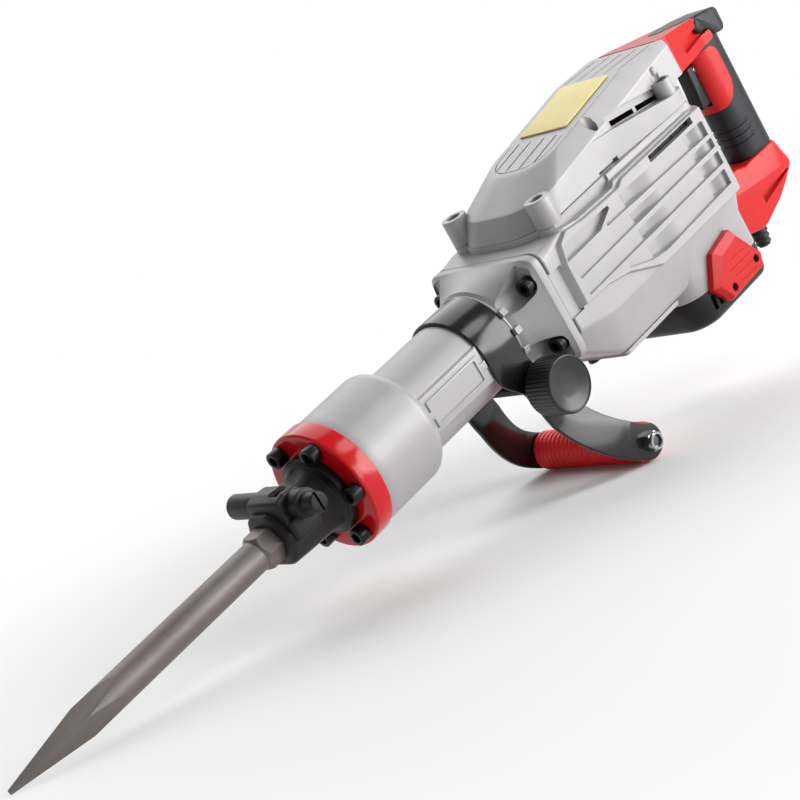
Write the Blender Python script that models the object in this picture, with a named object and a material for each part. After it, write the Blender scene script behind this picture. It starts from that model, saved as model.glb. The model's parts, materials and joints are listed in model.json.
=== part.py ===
"""Electric demolition hammer with a pointed bit, a D-shaped rear handle and a clamped side handle.

Every piece is modelled in the tool frame: X runs along the hammer axis from the bit to the rear handle,
Z points to the gear cover and Y across, with the origin where the axis meets the front ring's face. The whole
tool is then laid down as it rests in use, on the tip of its bit and on its side grip.
"""

import math

import bmesh
import bpy
from mathutils import Matrix, Vector

MM = 0.001
GAP = 0.3 * MM
PAST = 2 * MM

# Bit and tool retainer
BIT_REACH = 361 * MM
TIP_HALF = 1.5 * MM
POINT_LENGTH = 113 * MM
POINT_TURN = math.radians(22)
SHAFT_RADIUS = 13.7 * MM
HEX_ACROSS = 30 * MM
HEX_FRONT_X = -82 * MM
SHANK_END_X = 44 * MM
BIT_PLAY = 20 * MM
NOSE_FRONT_X = -67 * MM
NOSE_RADIUS = 26.5 * MM
NOSE_BASE_RADIUS = 29 * MM
NOSE_FLANGE_RADIUS = 37.3 * MM
NOSE_FLANGE_THICK = 8 * MM
NOSE_SPIGOT_X = 46 * MM
LEVER_X = -43 * MM
LEVER_Z = 20 * MM
LEVER_RADIUS = 10.5 * MM
LEVER_FAR_Y = 62 * MM
LEVER_BLOCK_FAR_Y = 15 * MM
LEVER_BLOCK_NEAR_Y = -28 * MM
LEVER_BLOCK_FRONT_X = -61 * MM
LEVER_BLOCK_REAR_X = -30 * MM
LEVER_BLOCK_TOP_Z = 33.5 * MM
LEVER_BLOCK_WALL = 5 * MM
PLUG_RADIUS = 6 * MM
PLUG_COLLAR_RADIUS = 12.5 * MM
PLUG_COLLAR_Y = -42 * MM
PLUG_HEAD_RADIUS = 9 * MM
PLUG_HEAD_Y = -58 * MM

# Front ring and its bolts
RING_RADIUS = 57 * MM
RING_THICK = 20 * MM
RING_BOLTS = 6
RING_BOLT_CIRCLE = 46.3 * MM
RING_BOLT_RADIUS = 5 * MM
RING_BOLT_DEPTH = 38 * MM
CAP_HEAD_RADIUS = 8 * MM
CAP_HEAD_HEIGHT = 11 * MM

# Cylinder case and what slides in it
CASE_RADIUS = 55 * MM
CASE_SHOULDER_X = 86 * MM
CASE_SHOULDER_LENGTH = 13 * MM
BARREL_RADIUS = 42.9 * MM
BORE_RADIUS = 36 * MM
SLEEVE_WALL = 6 * MM
SLEEVE_END_X = 262 * MM
STRIKER_END_X = 108 * MM
STRIKER_NOSE_RADIUS = 14 * MM
PAD_START_X = 105 * MM
PAD_END_X = 176 * MM
PAD_HALF_HEIGHT = 17 * MM
PAD_RISE = 2 * MM
COLLAR_RADIUS = 47.5 * MM
COLLAR_LENGTH = 9 * MM
COLLAR_TEETH = 12
TOOTH_DEPTH = 4 * MM
TOOTH_GAP = 8 * MM
FLANGE_X = 268 * MM
FLANGE_THICK = 11 * MM
FLANGE_HALF_WIDTH = 69 * MM
FLANGE_HALF_HEIGHT = 53 * MM
FLANGE_BOLT_Y = 55 * MM
FLANGE_BOLT_Z = 30 * MM
FLANGE_BOLT_RADIUS = 4 * MM
FLANGE_BOLT_DEPTH = 22 * MM
FLANGE_POCKET_RADIUS = 11 * MM

# Crank drive
CRANK_THROW = 20 * MM
ROD_LENGTH = 135 * MM
ROD_HALF_HEIGHT = 9 * MM
ROD_HALF_WIDTH = 7 * MM
BIG_END_RADIUS = 16 * MM
CRANK_PIN_RADIUS = 9 * MM
WRIST_PIN_RADIUS = 6 * MM
PISTON_LENGTH = 50 * MM
PISTON_CROWN = 10 * MM
PISTON_POCKET_RADIUS = 21 * MM
CRANK_WEB_RADIUS = 36 * MM
CRANK_WEB_Z = 11 * MM
CRANK_WEB_THICK = 13 * MM
CRANKSHAFT_RADIUS = 10 * MM
CRANK_BEARING_RADIUS = 24 * MM
FIRST_MODULE = 2.5 * MM
SECOND_MODULE = 3 * MM
PINION_TEETH = 9
FIRST_GEAR_TEETH = 36
SECOND_PINION_TEETH = 12
CRANK_GEAR_TEETH = 27
GEAR_WIDTH = 8 * MM
GEAR_CLEAR = 3 * MM
PRESSURE_ANGLE = math.radians(20)

# Motor
MOTOR_X = 480 * MM
ARMATURE_SHAFT_RADIUS = 7 * MM
ARMATURE_RADIUS = 30 * MM
ARMATURE_TOP_Z = -22 * MM
ARMATURE_BOTTOM_Z = -84 * MM
COMMUTATOR_RADIUS = 17 * MM
COMMUTATOR_TOP_Z = -95 * MM
COMMUTATOR_BOTTOM_Z = -116 * MM
STATOR_RADIUS = 45 * MM
STATOR_BORE = 31.5 * MM
FAN_RADIUS = 40 * MM
FAN_Z = 4 * MM
FAN_BLADES = 8
FAN_HEIGHT = 14 * MM
MOTOR_BEARING_RADIUS = 16 * MM
BRUSH_HALF = 4 * MM
BRUSH_LENGTH = 18 * MM

# Crank case
DECK_Z = 58 * MM
DECK_THICK = 18 * MM
CASE_HALF_WIDTH = 70 * MM
CASE_TOP_HALF_WIDTH = 66 * MM
CASE_BOTTOM_HALF_WIDTH = 52 * MM
BELLY_ROUND = 36 * MM
CASE_SIDE_TOP_Z = 50 * MM
LEDGE_Z = 53 * MM
CASE_SIDE_BOTTOM_Z = -38 * MM
CASE_REAR_X = 530 * MM
CASE_FRONT_BOTTOM_Z = -52 * MM
CASE_BOTTOM_X = 313 * MM
CASE_BOTTOM_Z = -86 * MM
CASE_WALL = 8 * MM
FRONT_WALL = 32 * MM
MOTOR_BARREL_FRONT_X = 413 * MM
MOTOR_BARREL_HALF_WIDTH = 60 * MM
MOTOR_BARREL_BOTTOM_Z = -98 * MM
PANEL_RISE = 4 * MM
PANEL_FRONT_X = 282 * MM
PANEL_REAR_X = 515 * MM
GROOVE_COUNT = 5
GROOVE_WIDTH = 9.5 * MM
GROOVE_PITCH = 14 * MM
GROOVE_TOP_Z = 30 * MM
GROOVE_DEPTH = 7 * MM
VENT_X = 434 * MM
VENT_LENGTH = 72 * MM
VENT_Z = 41 * MM
VENT_HEIGHT = 5.5 * MM
SUMP_FRONT_X = 330 * MM
SUMP_REAR_X = 400 * MM
SUMP_HALF_WIDTH = 40 * MM
PLATE_THICK = 4 * MM
PLATE_MARGIN = 9 * MM
PLATE_SCREW_RADIUS = 3 * MM

# Gear cover
COVER_FRONT_X = 288 * MM
COVER_REAR_X = 550 * MM
COVER_HALF_WIDTH = 58.5 * MM
COVER_REAR_HALF_WIDTH = 52 * MM
COVER_RIM_X = 301 * MM
COVER_RIM_Z = 79 * MM
COVER_TOP_X = 345 * MM
COVER_TOP_Z = 98 * MM
COVER_CREST_X = 484 * MM
COVER_CREST_Z = 116 * MM
COVER_CORNER = 41 * MM
COVER_TOP_HALF_WIDTH = 37 * MM
COVER_TOP_REAR_HALF_WIDTH = 31 * MM
COVER_TOP_CORNER = 29 * MM
COVER_DRAFT = 1.5 * MM
COVER_SHOULDER = 2.5 * MM
COVER_WALL = 4 * MM
COVER_REAR_BLOCK = 24 * MM
FRONT_BOSS_X = 309 * MM
FRONT_BOSS_Y = 55.5 * MM
FRONT_BOSS_RADIUS = 12.5 * MM
REAR_BOSS_X = 512 * MM
REAR_BOSS_Y = 56 * MM
REAR_BOSS_RADIUS = 10 * MM
FRONT_BOSS_TOP_Z = 84 * MM
REAR_BOSS_TOP_Z = 90 * MM
SIDE_HOLE_X = 423 * MM
SIDE_HOLE_Y = 50 * MM
SIDE_HOLE_RADIUS = 7 * MM
SIDE_HOLE_FLOOR_Z = 88 * MM
COVER_SCREW_RADIUS = 3 * MM
COVER_SCREW_HEAD = 5 * MM
TOP_GROOVES = 6
TOP_GROOVE_PITCH = 11 * MM
TOP_GROOVE_WIDTH = 2.4 * MM
TOP_GROOVE_DEPTH = 1.2 * MM
RATING_X = 404 * MM
RATING_LENGTH = 78 * MM
RATING_HALF_WIDTH = 31 * MM
RATING_THICK = 1 * MM

# Tail cover and brush covers
TAIL_BOTTOM_Z = -131 * MM
TAIL_TAPER = 9 * MM
TAIL_WALL = 4 * MM
TAIL_CORNER = 28 * MM
BRUSH_COVER_THICK = 10 * MM
BRUSH_COVER_TOP_Z = -64 * MM
BRUSH_COVER_REACH = 40 * MM
BRUSH_HOLDER_WALL = 3 * MM

# Rear handle
BAR_FRONT_X = 612 * MM
BAR_REAR_X = 662 * MM
BAR_HALF_WIDTH = 19 * MM
BAR_CORNER = 15 * MM
INSET_REAR_X = 650 * MM
INSET_BOTTOM_Z = 8 * MM
CORE_HALF_WIDTH = 8 * MM
CORE_FRONT_X = 627 * MM
HANDLE_TOP_Z = 113 * MM
HANDLE_REAR_TOP_Z = 92 * MM
BRACKET_HALF_WIDTH = 38 * MM
BRACKET_FOOT_Z = 73 * MM
OVERMOULD_FRONT_X = 592 * MM
OVERMOULD_THICK = 6 * MM
BUMPER_REAR_X = 674 * MM
BUMPER_ROUND = 8.5 * MM
LOWER_TOP_Z = -44 * MM
LOWER_REAR_X = 674 * MM
LOWER_BOTTOM_Z = -114 * MM
LOWER_RISE = 26 * MM
LOWER_HALF_WIDTH = 27 * MM
TRIGGER_HALF_WIDTH = 8 * MM
TRIGGER_FRONT_X = 598 * MM
TRIGGER_BACK_X = 618 * MM
TRIGGER_BOTTOM_Z = 15 * MM
TRIGGER_PIVOT_X = 613 * MM
TRIGGER_PIVOT_Z = 54 * MM
TRIGGER_SLOT_REAR_X = 641 * MM
TRIGGER_PIN_RADIUS = 2.5 * MM
SWITCH_DEPTH = 12 * MM
GLAND_SETBACK = 66 * MM
GLAND_RADIUS = 11 * MM
GLAND_LENGTH = 24 * MM
CORD_BORE = 4 * MM

# Side handle
STRAP_FRONT_X = 180 * MM
STRAP_REAR_X = 221 * MM
STRAP_THICK = 3 * MM
STRAP_EASE_Z = -22 * MM
PIVOT_X = 217.5 * MM
PIVOT_Z = -52 * MM
PIVOT_BOLT_RADIUS = 5 * MM
EAR_RADIUS = 18 * MM
ARM_THICK = 4.5 * MM
ARM_HALF_WIDTH = 18 * MM
ARM_SAG = 15 * MM
ARM_FLARE_START = 0.25
ARM_FLARE_END = 0.78
GRIP_X = 275 * MM
GRIP_Z = -154 * MM
GRIP_RADIUS = 18.5 * MM
GRIP_HALF_LENGTH = 65 * MM
GRIP_RIBS = 12
RIB_DEPTH = 1.5 * MM
GRIP_BOLT_RADIUS = 5 * MM
ARM_END_RADIUS = 17 * MM
KNOB_RADIUS = 25.5 * MM
KNOB_LENGTH = 29 * MM
HEX_HEAD_RADIUS = 9.5 * MM
HEX_HEAD_HEIGHT = 7 * MM

# Places that follow from the sizes above
TIP_X = -BIT_REACH
GLAND_X = CASE_REAR_X + GLAND_SETBACK
SLEEVE_BORE = BORE_RADIUS - SLEEVE_WALL
FIRST_CENTRES = FIRST_MODULE * (PINION_TEETH + FIRST_GEAR_TEETH) / 2
SECOND_CENTRES = SECOND_MODULE * (SECOND_PINION_TEETH + CRANK_GEAR_TEETH) / 2
IDLER_X = MOTOR_X - FIRST_CENTRES
CRANK_X = IDLER_X - SECOND_CENTRES
CRANK_PIN_X = CRANK_X - CRANK_THROW
WRIST_PIN_X = CRANK_PIN_X - ROD_LENGTH
FIRST_GEAR_Z = DECK_Z + GEAR_CLEAR
SECOND_GEAR_Z = FIRST_GEAR_Z + GEAR_WIDTH + GEAR_CLEAR
DECK_BOTTOM_Z = DECK_Z - DECK_THICK
PANEL_Y = CASE_HALF_WIDTH + PANEL_RISE
BRUSH_Z = (COMMUTATOR_TOP_Z + COMMUTATOR_BOTTOM_Z) / 2
NOTCH_FLOOR_Z = LEVER_Z - LEVER_RADIUS - GAP
STRAP_INNER = BARREL_RADIUS + GAP
STRAP_OUTER = STRAP_INNER + STRAP_THICK
ARM_TOP_Y = STRAP_OUTER + GAP
ARM_END_Y = GRIP_HALF_LENGTH + GAP
KNOB_BACK_Y = ARM_TOP_Y + ARM_THICK + GAP


for leftover in list(bpy.data.objects):
    bpy.data.objects.remove(leftover)

TOOL = bpy.data.objects.new("tool_frame", None)
bpy.context.scene.collection.objects.link(TOOL)


# Materials


def finish(name, colour, roughness, metallic):
    material = bpy.data.materials.new(name)
    material.use_nodes = True
    shader = material.node_tree.nodes["Principled BSDF"]
    shader.inputs["Base Color"].default_value = (*colour, 1)
    shader.inputs["Roughness"].default_value = roughness
    shader.inputs["Metallic"].default_value = metallic
    material.diffuse_color = (*colour, 1)
    return material


GREY_PAINT = finish("grey_paint", (0.55, 0.54, 0.53), 0.4, 0.2)
RED_PAINT = finish("red_paint", (0.6, 0.02, 0.02), 0.25, 0.0)
RED_PLASTIC = finish("red_plastic", (0.75, 0.04, 0.03), 0.4, 0.0)
BLACK_STEEL = finish("black_steel", (0.02, 0.02, 0.02), 0.3, 0.6)
BLACK_PLASTIC = finish("black_plastic", (0.03, 0.03, 0.03), 0.5, 0.0)
BLACK_RUBBER = finish("black_rubber", (0.025, 0.025, 0.028), 0.65, 0.0)
FORGED_STEEL = finish("forged_steel", (0.3, 0.27, 0.25), 0.4, 0.9)
BRIGHT_STEEL = finish("bright_steel", (0.7, 0.7, 0.72), 0.25, 1.0)
COPPER = finish("copper", (0.7, 0.35, 0.2), 0.4, 1.0)
CARBON = finish("carbon", (0.06, 0.06, 0.06), 0.7, 0.1)
PLATE_YELLOW = finish("plate_yellow", (0.85, 0.75, 0.4), 0.45, 0.0)


# Shape tools


def from_mesh(name, points, faces, material):
    """One closed object from points and faces in the tool frame, with its faces turned outwards."""
    mesh = bpy.data.meshes.new(name)
    mesh.from_pydata([tuple(p) for p in points], [], faces)
    shape = bmesh.new()
    shape.from_mesh(mesh)
    bmesh.ops.recalc_face_normals(shape, faces=shape.faces)
    shape.to_mesh(mesh)
    shape.free()
    mesh.shade_smooth()
    mesh.set_sharp_from_angle(angle=math.radians(35))
    obj = bpy.data.objects.new(name, mesh)
    obj.data.materials.append(material)
    obj.parent = TOOL
    bpy.context.scene.collection.objects.link(obj)
    return obj


def loft(name, rings, material):
    """A skin over rings of equal count, closed by a cap at each end."""
    count = len(rings[0])
    points = [p for ring in rings for p in ring]
    faces = [tuple(range(count)), tuple((len(rings) - 1) * count + i for i in reversed(range(count)))]
    for r in range(len(rings) - 1):
        for i in range(count):
            j = (i + 1) % count
            faces.append((r * count + i, r * count + j, (r + 1) * count + j, (r + 1) * count + i))
    return from_mesh(name, points, faces, material)


AXES = {"X": (0, 1, 2), "Y": (1, 0, 2), "Z": (2, 0, 1)}


def in_axis(axis, along, across, up):
    """A point whose first number runs along the named axis, the others along the remaining ones in order."""
    point = [0.0, 0.0, 0.0]
    for slot, value in zip(AXES[axis], (along, across, up)):
        point[slot] = value
    return point


def prism(name, outline, axis, low, high, material):
    """A flat outline, in the two axes other than the named one, carried from low to high."""
    return loft(name, [[in_axis(axis, a, u, v) for u, v in outline] for a in (low, high)], material)


def turned(name, profile, axis, centre, material, sides=32, twist=0.3):
    """A profile of (along, radius) pairs spun round an axis; a closed profile that misses the axis is a tube.

    The twist, as a share of one side, keeps the corners of crossing round shapes off each other's edges.
    """
    solid = profile[0][1] == 0
    points, faces, rows = [], [], []
    for along, radius in profile:
        steps = range(sides) if radius else range(1)
        rows.append(list(range(len(points), len(points) + len(steps))))
        for s in steps:
            angle = 2 * math.pi * (s + twist) / sides
            u, v = centre[0] + radius * math.cos(angle), centre[1] + radius * math.sin(angle)
            points.append(in_axis(axis, along, u, v))
    for r in range(len(rows) - solid):
        near, far = rows[r], rows[(r + 1) % len(rows)]
        for s in range(sides):
            t = (s + 1) % sides
            corners = [near[s % len(near)], near[t % len(near)], far[t % len(far)], far[s % len(far)]]
            faces.append(tuple(dict.fromkeys(corners)))
    return from_mesh(name, points, faces, material)


def rod(name, axis, centre, low, high, radius, material, sides=18, twist=0.3):
    profile = [(low, 0), (low, radius), (high, radius), (high, 0)]
    return turned(name, profile, axis, centre, material, sides, twist)


def tube(name, axis, centre, low, high, outer, inner, material, sides=18):
    profile = [(low, inner), (low, outer), (high, outer), (high, inner)]
    return turned(name, profile, axis, centre, material, sides)


def box(name, low, high, material):
    outline = [(low[1], low[2]), (high[1], low[2]), (high[1], high[2]), (low[1], high[2])]
    return prism(name, outline, "X", low[0], high[0], material)


def rounded(corners, steps=4):
    """An outline from (u, v, radius) corners, each turned as an arc of that radius."""
    outline = []
    for i, (u, v, radius) in enumerate(corners):
        here = Vector((u, v))
        if radius == 0:
            outline.append((u, v))
            continue
        back = (Vector(corners[i - 1][:2]) - here).normalized()
        ahead = (Vector(corners[(i + 1) % len(corners)][:2]) - here).normalized()
        half = back.angle(ahead) / 2
        middle = here + (back + ahead).normalized() * (radius / math.sin(half))
        start = here + back * (radius / math.tan(half)) - middle
        turn = math.pi - 2 * half
        if back.cross(ahead) > 0:
            turn = -turn
        for s in range(steps + 1):
            spoke = Matrix.Rotation(turn * s / steps, 2) @ start
            outline.append(tuple(middle + spoke))
    return outline


def mirrored(half):
    """An outline symmetric about v = 0 from its v > 0 half, as (u, v, radius) corners."""
    return half + [(u, -v, radius) for u, v, radius in reversed(half)]


def combine(obj, operation, other):
    """A Boolean of the object with a helper shape, which is then only a guide."""
    change = obj.modifiers.new(other.name, "BOOLEAN")
    change.operation = operation
    change.solver = "EXACT"
    change.object = other
    other.hide_render = True
    other.display_type = "WIRE"
    other.name = "guide_" + other.name
    return obj


def cut(obj, *others):
    for other in others:
        combine(obj, "DIFFERENCE", other)
    return obj


def join(obj, *others):
    for other in others:
        combine(obj, "UNION", other)
    return obj


def common(obj, *others):
    for other in others:
        combine(obj, "INTERSECT", other)
    return obj


def pivot_at(point, *objects):
    """Moves the objects' origins to a point of their joint axis, with the shapes left where they are."""
    for obj in objects:
        obj.data.transform(Matrix.Translation(-Vector(point)))
        obj.location = point


def gear_outline(teeth, module, centre, phase):
    """Stub involute teeth with running backlash; one tooth's middle lies at the phase angle."""
    pitch_radius = module * teeth / 2
    base = pitch_radius * math.cos(PRESSURE_ANGLE)
    root, tip = pitch_radius - 1.2 * module, pitch_radius + 0.75 * module
    half_tooth = 0.42 * math.pi / teeth

    def flank(radius):
        roll = math.acos(min(1.0, base / radius))
        return half_tooth - (math.tan(roll) - roll) + math.tan(PRESSURE_ANGLE) - PRESSURE_ANGLE

    side = [(root, flank(max(root, base))), (tip, flank(tip))]
    outline = []
    for tooth in range(teeth):
        middle = phase + 2 * math.pi * tooth / teeth
        for radius, half in side:
            outline.append((radius, middle - half))
        for radius, half in reversed(side):
            outline.append((radius, middle + half))
    return [(centre[0] + r * math.cos(a), centre[1] + r * math.sin(a)) for r, a in outline]


# Front end


def cap_screw(name, axis, centre, seat, length, radius, head_radius, head_height, facing, material, sides=8):
    """A socket-head screw: its head stands on the seat towards facing, its shank runs the other way."""
    head = seat + facing * head_height
    socket = radius * 0.85
    profile = [
        (head - facing * head_height * 0.55, 0),
        (head - facing * head_height * 0.55, socket),
        (head, socket),
        (head, head_radius),
        (seat, head_radius),
        (seat, radius),
        (seat - facing * length, radius),
        (seat - facing * length, 0),
    ]
    return turned(name, profile, axis, centre, material, sides)


def chisel_bit():
    corner = HEX_ACROSS / math.sqrt(3)
    chamfer = corner - SHAFT_RADIUS
    hexagon = [
        (HEX_FRONT_X - chamfer, 0),
        (HEX_FRONT_X - chamfer, SHAFT_RADIUS * 0.97),
        (HEX_FRONT_X, corner),
        (SHANK_END_X - chamfer, corner),
        (SHANK_END_X, SHAFT_RADIUS),
        (SHANK_END_X, 0),
    ]
    bit = turned("chisel_bit", hexagon, "X", (0, 0), FORGED_STEEL, sides=6, twist=0)
    shaft = rod("bit_shaft", "X", (0, 0), TIP_X, HEX_FRONT_X + chamfer, SHAFT_RADIUS, FORGED_STEEL, 32)
    slope = (SHAFT_RADIUS - TIP_HALF) / POINT_LENGTH
    rings = []
    for x in (TIP_X, SHANK_END_X + PAST):
        half = TIP_HALF + slope * (x - TIP_X)
        corners = [POINT_TURN + math.pi * (0.5 * i) for i in range(4)]
        reach = half * math.sqrt(2)
        rings.append([(x, reach * math.cos(a), -reach * math.sin(a)) for a in corners])
    join(bit, shaft)
    common(bit, loft("bit_point", rings, FORGED_STEEL))
    back = LEVER_X + LEVER_RADIUS + GAP + BIT_PLAY
    front = LEVER_X - LEVER_RADIUS - GAP
    cut(bit, box("bit_notch", (front, -corner, NOTCH_FLOOR_Z), (back, corner, corner), FORGED_STEEL))
    pivot_at((HEX_FRONT_X, 0, 0), bit)


def tool_retainer():
    body = [
        (NOSE_FRONT_X, 0),
        (NOSE_FRONT_X, NOSE_RADIUS - PAST),
        (NOSE_FRONT_X + PAST, NOSE_RADIUS),
        (-NOSE_FLANGE_THICK - GAP, NOSE_BASE_RADIUS),
        (-NOSE_FLANGE_THICK - GAP, NOSE_FLANGE_RADIUS - PAST),
        (-NOSE_FLANGE_THICK - GAP + PAST, NOSE_FLANGE_RADIUS),
        (-GAP, NOSE_FLANGE_RADIUS),
        (-GAP, BORE_RADIUS),
        (NOSE_SPIGOT_X, BORE_RADIUS),
        (NOSE_SPIGOT_X, 0),
    ]
    nose = turned("tool_retainer", body, "X", (0, 0), BLACK_STEEL, 24)
    block = rounded(
        [
            (LEVER_BLOCK_FRONT_X, 0, 0),
            (LEVER_BLOCK_FRONT_X, LEVER_BLOCK_TOP_Z, PAST),
            (LEVER_BLOCK_REAR_X, LEVER_BLOCK_TOP_Z, LEVER_BLOCK_WALL),
            (LEVER_BLOCK_REAR_X, 0, 0),
        ]
    )
    join(nose, prism("lever_block", block, "Y", LEVER_BLOCK_NEAR_Y, LEVER_BLOCK_FAR_Y, BLACK_STEEL))
    hole = HEX_ACROSS / math.sqrt(3) + 2 * GAP
    ends = (NOSE_FRONT_X - PAST, NOSE_SPIGOT_X + PAST)
    bore_floor = LEVER_BLOCK_NEAR_Y + LEVER_BLOCK_WALL
    cut(
        nose,
        rod("hex_bore", "X", (0, 0), *ends, hole, BLACK_STEEL, 6, 0),
        rod(
            "lever_bore",
            "Y",
            (LEVER_X, LEVER_Z),
            bore_floor,
            LEVER_FAR_Y,
            LEVER_RADIUS + GAP,
            BLACK_STEEL,
        ),
        rod(
            "plug_bore",
            "Y",
            (LEVER_X, LEVER_Z),
            LEVER_BLOCK_NEAR_Y - PAST,
            bore_floor + PAST,
            PLUG_RADIUS + GAP,
            BLACK_STEEL,
        ),
    )

    near = bore_floor + GAP
    chamfer = PAST
    knob_y = LEVER_BLOCK_FAR_Y + GAP
    lever_profile = [
        (near, 0),
        (near, LEVER_RADIUS),
        (knob_y, LEVER_RADIUS),
        (knob_y + chamfer, LEVER_RADIUS - chamfer),
        (knob_y + 2 * chamfer, LEVER_RADIUS),
        (LEVER_FAR_Y - chamfer, LEVER_RADIUS),
        (LEVER_FAR_Y, LEVER_RADIUS - chamfer),
        (LEVER_FAR_Y, 0),
    ]
    lever = turned("retainer_lever", lever_profile, "Y", (LEVER_X, LEVER_Z), BLACK_STEEL, 18)
    flat_low = (LEVER_X - LEVER_RADIUS - PAST, -HEX_ACROSS / 2, LEVER_Z + LEVER_RADIUS / 3)
    flat_high = (LEVER_X + LEVER_RADIUS + PAST, HEX_ACROSS / 2, LEVER_Z + LEVER_RADIUS + PAST)
    cut(lever, box("lever_flat", flat_low, flat_high, BLACK_STEEL))
    pivot_at((LEVER_X, 0, LEVER_Z), lever)

    seat = LEVER_BLOCK_NEAR_Y - GAP
    plug_profile = [
        (PLUG_HEAD_Y, 0),
        (PLUG_HEAD_Y, PLUG_HEAD_RADIUS - chamfer),
        (PLUG_HEAD_Y + chamfer, PLUG_HEAD_RADIUS),
        (PLUG_COLLAR_Y, PLUG_HEAD_RADIUS),
        (PLUG_COLLAR_Y, PLUG_COLLAR_RADIUS),
        (seat, PLUG_COLLAR_RADIUS),
        (seat, PLUG_RADIUS),
        (bore_floor - GAP, PLUG_RADIUS),
        (bore_floor - GAP, 0),
    ]
    plug = turned("retainer_plug", plug_profile, "Y", (LEVER_X, LEVER_Z), BLACK_STEEL, 14)
    half = PLUG_HEAD_RADIUS * 0.13
    slot_floor = PLUG_HEAD_Y + PLUG_HEAD_RADIUS / 3
    slot_low = (LEVER_X - half, PLUG_HEAD_Y - PAST, LEVER_Z - PLUG_HEAD_RADIUS - PAST)
    slot_high = (LEVER_X + half, slot_floor, LEVER_Z + PLUG_HEAD_RADIUS + PAST)
    cut(plug, box("plug_slot", slot_low, slot_high, BLACK_STEEL))


def ring_bolt_places():
    angles = [2 * math.pi * i / RING_BOLTS for i in range(RING_BOLTS)]
    return [(RING_BOLT_CIRCLE * math.cos(a), RING_BOLT_CIRCLE * math.sin(a)) for a in angles]


def front_ring():
    edge = PAST
    profile = [
        (0, BORE_RADIUS + GAP),
        (0, RING_RADIUS - edge),
        (edge, RING_RADIUS),
        (RING_THICK - edge, RING_RADIUS),
        (RING_THICK, RING_RADIUS - edge),
        (RING_THICK, BORE_RADIUS + GAP),
    ]
    ring = turned("front_ring", profile, "X", (0, 0), RED_PAINT, 32)
    for i, place in enumerate(ring_bolt_places()):
        ends = (-PAST, RING_THICK + PAST)
        cut(ring, rod(f"ring_hole_{i + 1}", "X", place, *ends, RING_BOLT_RADIUS + GAP, RED_PAINT, 8))
        cap_screw(
            f"ring_bolt_{i + 1}",
            "X",
            place,
            -GAP,
            RING_THICK + RING_BOLT_DEPTH,
            RING_BOLT_RADIUS,
            CAP_HEAD_RADIUS,
            CAP_HEAD_HEIGHT,
            -1,
            BLACK_STEEL,
        )


# Barrel


def oval_ring(x, half_width, half_height, squareness, count=32):
    """A ring across the hammer axis on the superellipse |y/a|^n + |z/b|^n = 1; n = 2 is a circle."""
    ring = []
    for i in range(count):
        angle = 2 * math.pi * (i + 0.5) / count
        c, s = math.cos(angle), math.sin(angle)
        ring.append(
            (
                x,
                half_width * math.copysign(abs(c) ** (2 / squareness), c),
                half_height * math.copysign(abs(s) ** (2 / squareness), s),
            )
        )
    return ring


def flange_bolt_places():
    return [(y, z) for y in (-FLANGE_BOLT_Y, FLANGE_BOLT_Y) for z in (-FLANGE_BOLT_Z, FLANGE_BOLT_Z)]


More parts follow.
